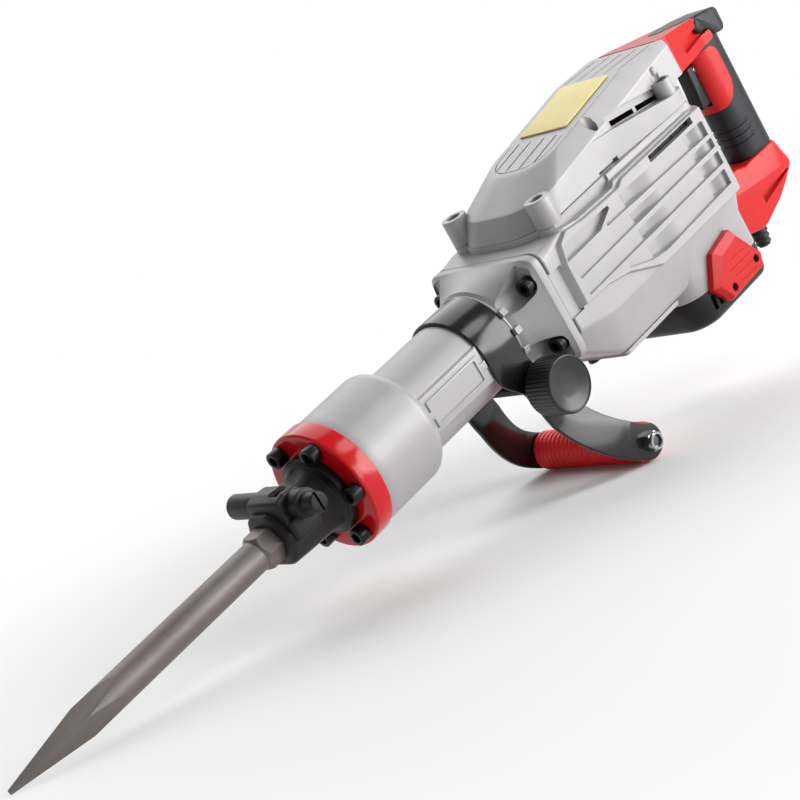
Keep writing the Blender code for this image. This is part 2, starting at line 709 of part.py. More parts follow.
def cylinder_case():
    front = RING_THICK + GAP
    collar_x = STRAP_REAR_X + GAP
    flare_x = collar_x + COLLAR_LENGTH
    seat_x = FLANGE_X - FLANGE_THICK
    rings = [oval_ring(front, CASE_RADIUS - PAST, CASE_RADIUS - PAST, 2)]
    rings.append(oval_ring(front + PAST, CASE_RADIUS, CASE_RADIUS, 2))
    drop = CASE_RADIUS - BARREL_RADIUS
    for step in range(5):
        turn = math.pi / 2 * step / 4
        radius = BARREL_RADIUS + drop * math.cos(turn)
        rings.append(oval_ring(CASE_SHOULDER_X + CASE_SHOULDER_LENGTH * math.sin(turn), radius, radius, 2))
    rings.append(oval_ring(collar_x, BARREL_RADIUS, BARREL_RADIUS, 2))
    rings.append(oval_ring(collar_x, COLLAR_RADIUS, COLLAR_RADIUS, 2))
    rings.append(oval_ring(flare_x, COLLAR_RADIUS, COLLAR_RADIUS, 2))
    for share in (0.4, 0.75, 1.0):
        rings.append(
            oval_ring(
                flare_x + (seat_x - flare_x) * share,
                COLLAR_RADIUS + (FLANGE_HALF_WIDTH - COLLAR_RADIUS) * share,
                COLLAR_RADIUS + (FLANGE_HALF_HEIGHT - COLLAR_RADIUS) * share,
                2 + 5 * share,
            )
        )
    rings.append(oval_ring(FLANGE_X, FLANGE_HALF_WIDTH, FLANGE_HALF_HEIGHT, 7))
    case = loft("cylinder_case", rings, GREY_PAINT)

    pad = rounded(
        [(x, z, PAD_HALF_HEIGHT / 4) for x, z in (
            (PAD_START_X, -PAD_HALF_HEIGHT),
            (PAD_END_X, -PAD_HALF_HEIGHT),
            (PAD_END_X, PAD_HALF_HEIGHT),
            (PAD_START_X, PAD_HALF_HEIGHT),
        )],
        2,
    )
    pad_y = BARREL_RADIUS + PAD_RISE
    for side, ends in (("left", (-pad_y, -BORE_RADIUS)), ("right", (BORE_RADIUS, pad_y))):
        join(case, prism(f"side_pad_{side}", pad, "Y", *ends, GREY_PAINT))
    for i in range(COLLAR_TEETH):
        notch = box(
            f"collar_notch_{i + 1}",
            (collar_x - PAST, -TOOTH_GAP / 2, BARREL_RADIUS),
            (collar_x + TOOTH_DEPTH, TOOTH_GAP / 2, COLLAR_RADIUS + PAST),
            GREY_PAINT,
        )
        notch.rotation_euler.x = 2 * math.pi * (i + 0.5) / COLLAR_TEETH
        cut(case, notch)
    cut(case, rod("case_bore", "X", (0, 0), 0, FLANGE_X + PAST, BORE_RADIUS + GAP, GREY_PAINT, 32))
    for i, place in enumerate(ring_bolt_places()):
        end = RING_THICK + RING_BOLT_DEPTH + GAP
        ends = (front - PAST, end)
        cut(case, rod(f"case_hole_{i + 1}", "X", place, *ends, RING_BOLT_RADIUS + GAP, GREY_PAINT, 8))
    for i, place in enumerate(flange_bolt_places()):
        pocket = [
            (collar_x, 0),
            (collar_x, FLANGE_POCKET_RADIUS),
            (seat_x, FLANGE_POCKET_RADIUS),
            (seat_x, FLANGE_BOLT_RADIUS + GAP),
            (FLANGE_X + PAST, FLANGE_BOLT_RADIUS + GAP),
            (FLANGE_X + PAST, 0),
        ]
        cut(case, turned(f"flange_pocket_{i + 1}", pocket, "X", place, GREY_PAINT, 10))
        cap_screw(
            f"flange_bolt_{i + 1}",
            "X",
            place,
            seat_x - GAP,
            FLANGE_THICK + FLANGE_BOLT_DEPTH,
            FLANGE_BOLT_RADIUS,
            CAP_HEAD_RADIUS,
            CAP_HEAD_HEIGHT,
            -1,
            BLACK_STEEL,
        )

    sleeve_start = NOSE_SPIGOT_X + GAP
    ends = (sleeve_start, SLEEVE_END_X)
    tube("cylinder_sleeve", "X", (0, 0), *ends, BORE_RADIUS, SLEEVE_BORE, BRIGHT_STEEL, 20)

    face = SHANK_END_X + GAP
    shoulder = NOSE_SPIGOT_X + STRIKER_NOSE_RADIUS / 2
    land = SLEEVE_BORE - GAP
    striker_profile = [
        (face, 0),
        (face, STRIKER_NOSE_RADIUS),
        (shoulder, STRIKER_NOSE_RADIUS),
        (shoulder + PAST, land),
        (STRIKER_END_X, land),
        (STRIKER_END_X, 0),
    ]
    pivot_at((face, 0, 0), turned("striker", striker_profile, "X", (0, 0), BRIGHT_STEEL, 20))


# Crank drive


def piston_and_rod():
    land = SLEEVE_BORE - GAP
    front = WRIST_PIN_X - PISTON_LENGTH / 2
    floor = front + PISTON_CROWN
    end = front + PISTON_LENGTH
    profile = [
        (front, 0),
        (front, land),
        (end, land),
        (end, PISTON_POCKET_RADIUS),
        (floor, PISTON_POCKET_RADIUS),
        (floor, 0),
    ]
    piston = turned("piston", profile, "X", (0, 0), BRIGHT_STEEL, 20)
    wide = land + PAST
    place = (WRIST_PIN_X, 0)
    cut(piston, rod("wrist_hole", "Z", place, -wide, wide, WRIST_PIN_RADIUS + GAP, BRIGHT_STEEL, 12))
    half_pin = math.sqrt(land**2 - WRIST_PIN_RADIUS**2) - PAST
    pin = rod("wrist_pin", "Z", place, -half_pin, half_pin, WRIST_PIN_RADIUS, BRIGHT_STEEL, 12)

    eye_radius = WRIST_PIN_RADIUS + ROD_HALF_WIDTH
    high = ROD_HALF_HEIGHT
    connecting_rod = rod("connecting_rod", "Z", place, -high, high, eye_radius, BRIGHT_STEEL, 16)
    shank = box(
        "rod_shank",
        (WRIST_PIN_X, -ROD_HALF_WIDTH, -high * 0.7),
        (CRANK_PIN_X, ROD_HALF_WIDTH, high * 0.7),
        BRIGHT_STEEL,
    )
    pin_place = (CRANK_PIN_X, 0)
    top = CRANK_WEB_Z - GAP
    big_end = turned(
        "rod_big_end",
        [
            (-high, 0),
            (-high, BIG_END_RADIUS),
            (high, BIG_END_RADIUS),
            (high, CRANK_PIN_RADIUS),
            (top, CRANK_PIN_RADIUS),
            (top, 0),
        ],
        "Z",
        pin_place,
        BRIGHT_STEEL,
        16,
    )
    join(connecting_rod, shank, big_end)
    cut(
        connecting_rod,
        rod("eye_hole", "Z", place, -high - PAST, high + PAST, WRIST_PIN_RADIUS + GAP, BRIGHT_STEEL, 12),
    )
    pivot_at((WRIST_PIN_X, 0, 0), piston, pin, connecting_rod)


def crank_train():
    crank = (CRANK_X, 0)
    web_top = CRANK_WEB_Z + CRANK_WEB_THICK
    gear_top = SECOND_GEAR_Z + GEAR_WIDTH
    shaft_profile = [
        (CRANK_WEB_Z, 0),
        (CRANK_WEB_Z, CRANK_WEB_RADIUS),
        (web_top, CRANK_WEB_RADIUS),
        (web_top + PAST, CRANKSHAFT_RADIUS + PAST),
        (DECK_BOTTOM_Z, CRANKSHAFT_RADIUS + PAST),
        (DECK_BOTTOM_Z, CRANKSHAFT_RADIUS),
        (gear_top + PAST, CRANKSHAFT_RADIUS),
        (gear_top + PAST, 0),
    ]
    crankshaft = turned("crankshaft", shaft_profile, "Z", crank, BRIGHT_STEEL, 20)
    crank_gear = prism(
        "crank_gear",
        gear_outline(CRANK_GEAR_TEETH, SECOND_MODULE, crank, 0),
        "Z",
        SECOND_GEAR_Z,
        gear_top,
        BRIGHT_STEEL,
    )
    ends = (SECOND_GEAR_Z - PAST, gear_top + PAST)
    cut(crank_gear, rod("crank_gear_bore", "Z", crank, *ends, CRANKSHAFT_RADIUS + GAP, BRIGHT_STEEL, 20))
    bearing_low = DECK_BOTTOM_Z + GAP
    bearing_high = DECK_Z - DECK_THICK / 4 - GAP
    tube(
        "crank_bearing",
        "Z",
        crank,
        bearing_low,
        bearing_high,
        CRANK_BEARING_RADIUS,
        CRANKSHAFT_RADIUS + GAP,
        BRIGHT_STEEL,
    )

    idler = (IDLER_X, 0)
    shaft_radius = ARMATURE_SHAFT_RADIUS
    ends = (DECK_BOTTOM_Z + GAP, gear_top + GEAR_CLEAR)
    cluster = rod("idler_gear", "Z", idler, *ends, shaft_radius, BRIGHT_STEEL)
    first = gear_outline(FIRST_GEAR_TEETH, FIRST_MODULE, idler, 0)
    second_phase = math.pi + math.pi / SECOND_PINION_TEETH
    second = gear_outline(SECOND_PINION_TEETH, SECOND_MODULE, idler, second_phase)
    first_top = FIRST_GEAR_Z + GEAR_WIDTH
    join(
        cluster,
        prism("first_gear", first, "Z", FIRST_GEAR_Z, first_top, BRIGHT_STEEL),
        prism("second_pinion", second, "Z", first_top - PAST, gear_top, BRIGHT_STEEL),
    )
    pivot_at((CRANK_X, 0, DECK_Z), crankshaft, crank_gear)
    pivot_at((IDLER_X, 0, DECK_Z), cluster)


# Motor


def motor():
    place = (MOTOR_X, 0)
    foot = TAIL_BOTTOM_Z + TAIL_WALL + PAST
    top = FIRST_GEAR_Z + GEAR_WIDTH
    profile = [
        (foot, 0),
        (foot, ARMATURE_SHAFT_RADIUS),
        (COMMUTATOR_BOTTOM_Z, ARMATURE_SHAFT_RADIUS),
        (COMMUTATOR_BOTTOM_Z, COMMUTATOR_RADIUS),
        (COMMUTATOR_TOP_Z, COMMUTATOR_RADIUS),
        (COMMUTATOR_TOP_Z, ARMATURE_SHAFT_RADIUS + PAST),
        (ARMATURE_BOTTOM_Z, ARMATURE_SHAFT_RADIUS + PAST),
        (ARMATURE_BOTTOM_Z, ARMATURE_RADIUS),
        (ARMATURE_TOP_Z, ARMATURE_RADIUS),
        (ARMATURE_TOP_Z, ARMATURE_SHAFT_RADIUS + PAST),
        (FAN_Z - GAP, ARMATURE_SHAFT_RADIUS + PAST),
        (FAN_Z - GAP, ARMATURE_SHAFT_RADIUS),
        (top, ARMATURE_SHAFT_RADIUS),
        (top, 0),
    ]
    armature = turned("armature", profile, "Z", place, COPPER, 16)
    teeth = gear_outline(PINION_TEETH, FIRST_MODULE, place, math.pi + math.pi / PINION_TEETH)
    join(armature, prism("motor_pinion", teeth, "Z", FIRST_GEAR_Z, top - PAST, BRIGHT_STEEL))

    hub = ARMATURE_SHAFT_RADIUS + GAP
    fan_top = FAN_Z + FAN_HEIGHT
    disc = FAN_HEIGHT / 5
    fan_profile = [
        (FAN_Z, hub),
        (FAN_Z, FAN_RADIUS),
        (FAN_Z + disc, FAN_RADIUS),
        (FAN_Z + disc, 2 * hub),
        (fan_top, 2 * hub),
        (fan_top, hub),
    ]
    fan = turned("fan", fan_profile, "Z", place, BLACK_PLASTIC, 16)
    for i in range(FAN_BLADES):
        blade = box(
            f"fan_blade_{i + 1}",
            (1.5 * hub, -disc / 2, disc / 2),
            (FAN_RADIUS - PAST, disc / 2, FAN_HEIGHT - PAST),
            BLACK_PLASTIC,
        )
        blade.location = (MOTOR_X, 0, FAN_Z)
        blade.rotation_euler.z = 2 * math.pi * i / FAN_BLADES
        join(fan, blade)
    pivot_at((MOTOR_X, 0, DECK_Z), armature, fan)

    stator_ends = (ARMATURE_BOTTOM_Z - PAST, ARMATURE_TOP_Z + PAST)
    tube("stator", "Z", place, *stator_ends, STATOR_RADIUS, STATOR_BORE, FORGED_STEEL, 20)
    upper = (DECK_BOTTOM_Z + GAP, DECK_Z - DECK_THICK / 4 - GAP)
    tube("motor_bearing_upper", "Z", place, *upper, MOTOR_BEARING_RADIUS, hub, BRIGHT_STEEL)
    lower = (foot, COMMUTATOR_BOTTOM_Z - PAST)
    tube("motor_bearing_lower", "Z", place, *lower, MOTOR_BEARING_RADIUS, hub, BRIGHT_STEEL)


# Crank case


def panel_outline():
    lower = CASE_SIDE_BOTTOM_Z
    upper = CASE_SIDE_TOP_Z
    chamfer = GROOVE_PITCH
    return [
        (PANEL_FRONT_X, upper - 1.5 * chamfer),
        (PANEL_FRONT_X, lower + 1.5 * chamfer),
        (PANEL_FRONT_X + 3.2 * chamfer, lower + 1.5 * chamfer),
        (PANEL_FRONT_X + 7.2 * chamfer, lower),
        (PANEL_REAR_X, lower),
        (PANEL_REAR_X, upper),
        (PANEL_FRONT_X + 2.4 * chamfer, upper),
    ]


def side_grooves(case):
    """Long parallel grooves in both side panels; the lowest starts where the panel widens."""
    margin = GROOVE_PITCH * 0.8
    for i in range(GROOVE_COUNT):
        z = GROOVE_TOP_Z - GROOVE_PITCH * i
        start = PANEL_FRONT_X + margin
        if i == 0:
            start += 2 * margin
        if i == GROOVE_COUNT - 1:
            start += 7.5 * margin
        half = GROOVE_WIDTH / 2
        end = PANEL_REAR_X - margin
        slot = [
            (start, z - half),
            (end - GROOVE_WIDTH, z - half),
            (end, z + half),
            (start + GROOVE_WIDTH, z + half),
        ]
        floor = PANEL_Y - GROOVE_DEPTH
        for name, ends in (("left", (-PANEL_Y - PAST, -floor)), ("right", (floor, PANEL_Y + PAST))):
            cut(case, prism(f"groove_{name}_{i + 1}", slot, "Y", *ends, GREY_PAINT))


def crank_case():
    front = FLANGE_X + GAP
    side = rounded(
        [
            (front, LEDGE_Z, 0),
            (CASE_REAR_X, LEDGE_Z, 0),
            (CASE_REAR_X, CASE_BOTTOM_Z, CASE_WALL),
            (CASE_BOTTOM_X, CASE_BOTTOM_Z, CASE_WALL),
            (front, CASE_FRONT_BOTTOM_Z, 0),
        ]
    )
    half_end = [
        (CASE_TOP_HALF_WIDTH, LEDGE_Z, 0),
        (CASE_HALF_WIDTH, CASE_SIDE_TOP_Z, 0),
        (CASE_HALF_WIDTH, CASE_SIDE_BOTTOM_Z, BELLY_ROUND),
        (CASE_BOTTOM_HALF_WIDTH, CASE_BOTTOM_Z - PAST, CASE_WALL),
    ]
    end_view = rounded(half_end + [(-y, z, radius) for y, z, radius in reversed(half_end)])
    corner = 2 * CASE_WALL
    plan = rounded(
        mirrored(
            [
                (front - PAST, CASE_HALF_WIDTH + PAST, 0),
                (CASE_REAR_X + PAST / 4, CASE_HALF_WIDTH + PAST, corner),
            ]
        )
    )
    wide = CASE_HALF_WIDTH + PAST
    case = prism("crank_case", side, "Y", -wide, wide, GREY_PAINT)
    common(
        case,
        prism("case_end_view", end_view, "X", front - PAST, CASE_REAR_X + PAST, GREY_PAINT),
        prism("case_plan", plan, "Z", CASE_BOTTOM_Z - PAST, LEDGE_Z + PAST, GREY_PAINT),
    )
    barrel = rounded(
        mirrored(
            [
                (MOTOR_BARREL_FRONT_X, MOTOR_BARREL_HALF_WIDTH, TAIL_CORNER),
                (CASE_REAR_X - GAP, MOTOR_BARREL_HALF_WIDTH, TAIL_CORNER / 2),
            ]
        )
    )
    plinth_rear = CASE_REAR_X - CASE_WALL
    low = DECK_BOTTOM_Z + PAST
    join(case, loft("cover_plinth", [cover_ring(0, z, plinth_rear) for z in (low, DECK_Z)], GREY_PAINT))
    for i, (x, y, radius, _) in enumerate(boss_places()):
        join(case, rod(f"case_boss_{i + 1}", "Z", (x, y), low, DECK_Z - GAP / 3, radius, GREY_PAINT, 14))
    join(case, prism("motor_barrel", barrel, "Z", MOTOR_BARREL_BOTTOM_Z, 0, GREY_PAINT))
    for name, ends in (("left", (-PANEL_Y, -CASE_WALL)), ("right", (CASE_WALL, PANEL_Y))):
        join(case, prism(f"side_panel_{name}", panel_outline(), "Y", *ends, GREY_PAINT))
    side_grooves(case)
    vent = [(VENT_X, VENT_Z), (VENT_X + VENT_LENGTH, VENT_Z)]
    vent += [(x, z + VENT_HEIGHT) for x, z in reversed(vent)]
    vent_floor = CASE_HALF_WIDTH - CASE_WALL
    for name, ends in (("left", (-PANEL_Y - PAST, -vent_floor)), ("right", (vent_floor, PANEL_Y + PAST))):
        cut(case, prism(f"vent_{name}", vent, "Y", *ends, GREY_PAINT))
    seat = MOTOR_BARREL_HALF_WIDTH + GAP / 3
    for name, ends in (("left", (-PANEL_Y - PAST, -seat)), ("right", (seat, PANEL_Y + PAST))):
        cut(case, prism(f"brush_seat_{name}", brush_cover_outline(2 * GAP), "Y", *ends, GREY_PAINT))

    inside = CASE_HALF_WIDTH - CASE_WALL
    cut(
        case,
        box(
            "crank_chamber",
            (FLANGE_X + FRONT_WALL, -inside, CASE_SIDE_BOTTOM_Z),
            (CASE_REAR_X - CASE_WALL, inside, DECK_BOTTOM_Z),
            GREY_PAINT,
        ),
        box(
            "sump",
            (SUMP_FRONT_X, -SUMP_HALF_WIDTH, CASE_BOTTOM_Z - PAST),
            (SUMP_REAR_X, SUMP_HALF_WIDTH, CASE_SIDE_BOTTOM_Z + PAST),
            GREY_PAINT,
        ),
        rod(
            "stator_bore",
            "Z",
            (MOTOR_X, 0),
            MOTOR_BARREL_BOTTOM_Z - PAST,
            ARMATURE_TOP_Z + 2 * PAST,
            STATOR_RADIUS + GAP,
            GREY_PAINT,
            32,
        ),
        rod(
            "front_bore",
            "X",
            (0, 0),
            FLANGE_X - PAST,
            FLANGE_X + FRONT_WALL + PAST,
            BORE_RADIUS + GAP,
            GREY_PAINT,
            32,
        ),
    )
    lip_z = DECK_Z - DECK_THICK / 4
    deck_holes = (
        ("crank", CRANK_X, CRANK_BEARING_RADIUS, CRANKSHAFT_RADIUS),
        ("motor", MOTOR_X, MOTOR_BEARING_RADIUS, ARMATURE_SHAFT_RADIUS),
    )
    for name, x, bearing, shaft in deck_holes:
        hole = [
            (DECK_BOTTOM_Z - PAST, 0),
            (DECK_BOTTOM_Z - PAST, bearing + GAP),
            (lip_z, bearing + GAP),
            (lip_z, shaft + PAST),
            (DECK_Z + PAST, shaft + PAST),
            (DECK_Z + PAST, 0),
        ]
        cut(case, turned(f"{name}_seat", hole, "Z", (x, 0), GREY_PAINT, 24))
    hole_ends = (DECK_BOTTOM_Z - PAST, DECK_Z + PAST)
    cut(case, rod("idler_seat", "Z", (IDLER_X, 0), *hole_ends, ARMATURE_SHAFT_RADIUS + GAP, GREY_PAINT))
    for i, place in enumerate(flange_bolt_places()):
        end = FLANGE_X + FLANGE_BOLT_DEPTH + GAP
        ends = (FLANGE_X - PAST, end)
        cut(case, rod(f"flange_hole_{i + 1}", "X", place, *ends, FLANGE_BOLT_RADIUS + GAP, GREY_PAINT, 8))
    for i, (x, y, _, _) in enumerate(boss_places()):
        depth = DECK_Z - DECK_THICK / 2
        ends = (depth, DECK_Z + PAST)
        cut(case, rod(f"cover_hole_{i + 1}", "Z", (x, y), *ends, COVER_SCREW_RADIUS + GAP, GREY_PAINT, 8))

    low_x, high_x = SUMP_FRONT_X - PLATE_MARGIN, SUMP_REAR_X + PLATE_MARGIN
    half = SUMP_HALF_WIDTH + PLATE_MARGIN
    top = CASE_BOTTOM_Z - GAP
    outline = rounded(mirrored([(low_x, half, PLATE_MARGIN / 2), (high_x, half, PLATE_MARGIN / 2)]), 3)
    plate = prism("bottom_plate", outline, "Z", top - PLATE_THICK, top, GREY_PAINT)
    for i, x in enumerate((SUMP_FRONT_X - PLATE_MARGIN / 2, SUMP_REAR_X + PLATE_MARGIN / 2)):
        hole = (top - PLATE_THICK - PAST, top + PLATE_MARGIN)
        place = (x, 0)
        cut(plate, rod(f"plate_hole_{i + 1}", "Z", place, *hole, PLATE_SCREW_RADIUS + GAP, GREY_PAINT, 8))
        ends = (top - PAST, hole[1] + GAP)
        cut(case, rod(f"sump_hole_{i + 1}", "Z", place, *ends, PLATE_SCREW_RADIUS + GAP, GREY_PAINT, 8))
        cap_screw(
            f"plate_screw_{i + 1}",
            "Z",
            place,
            top - PLATE_THICK - GAP,
            PLATE_THICK + PLATE_MARGIN * 0.9,
            PLATE_SCREW_RADIUS,
            2 * PLATE_SCREW_RADIUS,
            PLATE_SCREW_RADIUS,
            -1,
            BLACK_STEEL,
            8,
        )


# Gear cover


def boss_places():
    return [
        (x, side * y, radius, top)
        for x, y, radius, top in (
            (FRONT_BOSS_X, FRONT_BOSS_Y, FRONT_BOSS_RADIUS, FRONT_BOSS_TOP_Z),
            (REAR_BOSS_X, REAR_BOSS_Y, REAR_BOSS_RADIUS, REAR_BOSS_TOP_Z),
        )
        for side in (-1, 1)
    ]


def cover_outline(front, half, corner, rear, rear_half):
    """Wide round corners in front, a slight taper and nearly square corners at the rear."""
    return rounded(mirrored([(front, half, corner), (rear, rear_half, COVER_WALL / 2)]), 6)


def cover_ring(inset, z, rear):
    """The cover's outline over the case, at one height."""
    front = COVER_FRONT_X + inset
    outline = cover_outline(
        front, COVER_HALF_WIDTH - inset, COVER_CORNER - inset, rear, COVER_REAR_HALF_WIDTH - inset
    )
    return [(x, y, z) for x, y in outline]


def dome(name, inset, floor):
    """The cover's outer form, or its hollow when inset: a skin over its foot, rising rim and sloping top."""
    rear = COVER_REAR_X - (COVER_REAR_BLOCK if inset else 0)
    slope = math.tan(cover_slope())
    rear_top_z = COVER_TOP_Z + slope * (rear - COVER_TOP_X)
    rim_slope = (rear_top_z - COVER_SHOULDER - COVER_RIM_Z) / (rear - COVER_RIM_X)
    rim = cover_outline(
        COVER_RIM_X + inset,
        COVER_HALF_WIDTH - COVER_DRAFT - inset,
        COVER_CORNER - COVER_DRAFT - inset,
        rear,
        COVER_REAR_HALF_WIDTH - COVER_DRAFT - inset,
    )
    top = cover_outline(
        COVER_TOP_X + inset / 2,
        COVER_TOP_HALF_WIDTH - inset / 2,
        COVER_TOP_CORNER - inset / 2,
        rear,
        COVER_TOP_REAR_HALF_WIDTH - inset / 2,
    )
    form = loft(
        name,
        [
            cover_ring(inset, floor, rear),
            [(x, y, COVER_RIM_Z - inset + rim_slope * (x - COVER_RIM_X)) for x, y in rim],
            [(x, y, COVER_TOP_Z - inset + slope * (x - COVER_TOP_X)) for x, y in top],
        ],
        GREY_PAINT,
    )
    start, end = COVER_FRONT_X - 2 * PAST, COVER_REAR_X + 2 * PAST
    low = floor - PAST
    side = [
        (start, low),
        (start, COVER_CREST_Z + PAST),
        (COVER_CREST_X, COVER_CREST_Z - GAP - inset),
        (end, HANDLE_TOP_Z - inset),
        (end, low),
    ]
    wide = COVER_HALF_WIDTH + 2 * PAST
    return common(form, prism(name + "_side", side, "Y", -wide, wide, GREY_PAINT))


def cover_slope():
    """The rise angle of the cover's top towards its crest."""
    return math.atan2(COVER_CREST_Z - COVER_TOP_Z, COVER_CREST_X - COVER_TOP_X)


def gear_cover():
    floor = DECK_Z + GAP
    cover = dome("gear_cover", 0, floor)
    cut(cover, dome("cover_hollow", COVER_WALL, DECK_Z - PAST))
    for i, (x, y, radius, boss_top) in enumerate(boss_places()):
        head_seat = boss_top - 2 * COVER_SCREW_RADIUS
        join(cover, rod(f"cover_boss_{i + 1}", "Z", (x, y), floor, boss_top, radius, GREY_PAINT, 14))
        hole = [
            (DECK_Z - PAST, 0),
            (DECK_Z - PAST, COVER_SCREW_RADIUS + GAP),
            (head_seat, COVER_SCREW_RADIUS + GAP),
            (head_seat, COVER_SCREW_HEAD + GAP),
            (COVER_CREST_Z + PAST, COVER_SCREW_HEAD + GAP),
            (COVER_CREST_Z + PAST, 0),
        ]
        cut(cover, turned(f"boss_hole_{i + 1}", hole, "Z", (x, y), GREY_PAINT, 10))
        cap_screw(
            f"cover_screw_{i + 1}",
            "Z",
            (x, y),
            head_seat + GAP,
            head_seat - DECK_Z + DECK_THICK / 2 - GAP,
            COVER_SCREW_RADIUS,
            COVER_SCREW_HEAD,
            1.6 * COVER_SCREW_RADIUS,
            1,
            BLACK_STEEL,
            8,
        )

    stub_floor = SECOND_GEAR_Z + GEAR_CLEAR
    for name, side in (("left", -1), ("right", 1)):
        stub_y = side * (SIDE_HOLE_Y - COVER_WALL)
        stub_ends = (stub_floor, SIDE_HOLE_FLOOR_Z + 2 * COVER_WALL)
        stub_radius = SIDE_HOLE_RADIUS + COVER_WALL / 2
        hole_ends = (SIDE_HOLE_FLOOR_Z, COVER_CREST_Z)
        hole_place = (SIDE_HOLE_X, side * SIDE_HOLE_Y)
        stub_place = (SIDE_HOLE_X, stub_y)
        join(cover, rod(f"side_stub_{name}", "Z", stub_place, *stub_ends, stub_radius, GREY_PAINT, 14))
        cut(cover, rod(f"side_hole_{name}", "Z", hole_place, *hole_ends, SIDE_HOLE_RADIUS, GREY_PAINT, 14))

    slope = cover_slope()
    groove_length = COVER_CREST_X - COVER_TOP_X
    start = Vector((COVER_TOP_X, 0, COVER_TOP_Z))
    for i in range(TOP_GROOVES):
        y = TOP_GROOVE_PITCH * (i - (TOP_GROOVES - 1) / 2)
        half = TOP_GROOVE_WIDTH / 2
        groove = box(
            f"top_groove_{i + 1}",
            (groove_length * 0.06, y - half, -TOP_GROOVE_DEPTH),
            (groove_length * 0.94, y + half, PAST),
            GREY_PAINT,
        )
        groove.location = start
        groove.rotation_euler.y = -slope
        cut(cover, groove)

    plate = rounded(
        mirrored([(0, RATING_HALF_WIDTH, PAST), (RATING_LENGTH, RATING_HALF_WIDTH, PAST)]),
        2,
    )
    rating = prism("rating_plate", plate, "Z", GAP, GAP + RATING_THICK, PLATE_YELLOW)
    rating.location = start + Vector((RATING_X - COVER_TOP_X, 0, (RATING_X - COVER_TOP_X) * math.tan(slope)))
    rating.rotation_euler.y = -slope


# Tail cover and brush covers


def tail_ring(z, inset):
    outline = rounded(
        mirrored(
            [
                (MOTOR_BARREL_FRONT_X + inset, MOTOR_BARREL_HALF_WIDTH - inset, TAIL_CORNER - inset / 2),
                (CASE_REAR_X - GAP - inset / 3, MOTOR_BARREL_HALF_WIDTH - inset, TAIL_CORNER / 2 - inset / 2),
            ]
        ),
        5,
    )
    return [(x, y, z) for x, y in outline]


def tail_cover():
    top = MOTOR_BARREL_BOTTOM_Z - GAP
    waist = TAIL_BOTTOM_Z + TAIL_TAPER
    rings = [tail_ring(top, 0), tail_ring(waist, TAIL_WALL / 2), tail_ring(TAIL_BOTTOM_Z, TAIL_TAPER)]
    cover = loft("tail_cover", rings, BLACK_PLASTIC)
    hollow = [
        tail_ring(top + PAST, TAIL_WALL),
        tail_ring(waist, 1.5 * TAIL_WALL),
        tail_ring(TAIL_BOTTOM_Z + TAIL_WALL, TAIL_TAPER + TAIL_WALL),
    ]
    cut(cover, loft("tail_hollow", hollow, BLACK_PLASTIC))
    place = (MOTOR_X, 0)
    seat = TAIL_BOTTOM_Z + TAIL_WALL + PAST - GAP
    rim = COMMUTATOR_BOTTOM_Z - PAST
    boss_radius = MOTOR_BEARING_RADIUS + TAIL_WALL
    cup = [
        (TAIL_BOTTOM_Z + TAIL_WALL / 2, 0),
        (TAIL_BOTTOM_Z + TAIL_WALL / 2, boss_radius),
        (rim, boss_radius),
        (rim, MOTOR_BEARING_RADIUS + GAP),
        (seat, MOTOR_BEARING_RADIUS + GAP),
        (seat, 0),
    ]
    join(cover, turned("bearing_cup", cup, "Z", place, BLACK_PLASTIC, 22))
    holder = BRUSH_HALF + BRUSH_HOLDER_WALL + GAP
    for name, side in (("left", -1), ("right", 1)):
        near = side * (COMMUTATOR_RADIUS + 2 * BRUSH_LENGTH / 3)
        far = side * (MOTOR_BARREL_HALF_WIDTH + PAST)
        low, high = min(near, far), max(near, far)
        cut(
            cover,
            box(
                f"holder_window_{name}",
                (MOTOR_X - holder, low, BRUSH_Z - holder),
                (MOTOR_X + holder, high, BRUSH_Z + holder),
                BLACK_PLASTIC,
            ),
        )


def brush_cover_outline(grow):
    """The brush cover's outline along the hammer and up, or its seat's when grown."""
    upper = BRUSH_COVER_TOP_Z + grow
    lower = TAIL_BOTTOM_Z + TAIL_TAPER + PAST - grow
    reach = BRUSH_COVER_REACH + grow
    return rounded(
        [
            (MOTOR_X - 0.6 * reach, upper - 0.15 * reach, PAST),
            (MOTOR_X + 0.25 * reach, upper, PAST),
            (MOTOR_X + 0.85 * reach, upper - reach, PAST),
            (MOTOR_X + 0.7 * reach, lower + PAST, PAST),
            (MOTOR_X - 0.7 * reach, lower, PAST),
            (MOTOR_X - 1.1 * reach, lower + 0.55 * reach, PAST),
        ],
        2,
    )


def across(side, low, high):
    """A span across the hammer, on the side given by its sign."""
    return sorted((side * low, side * high))


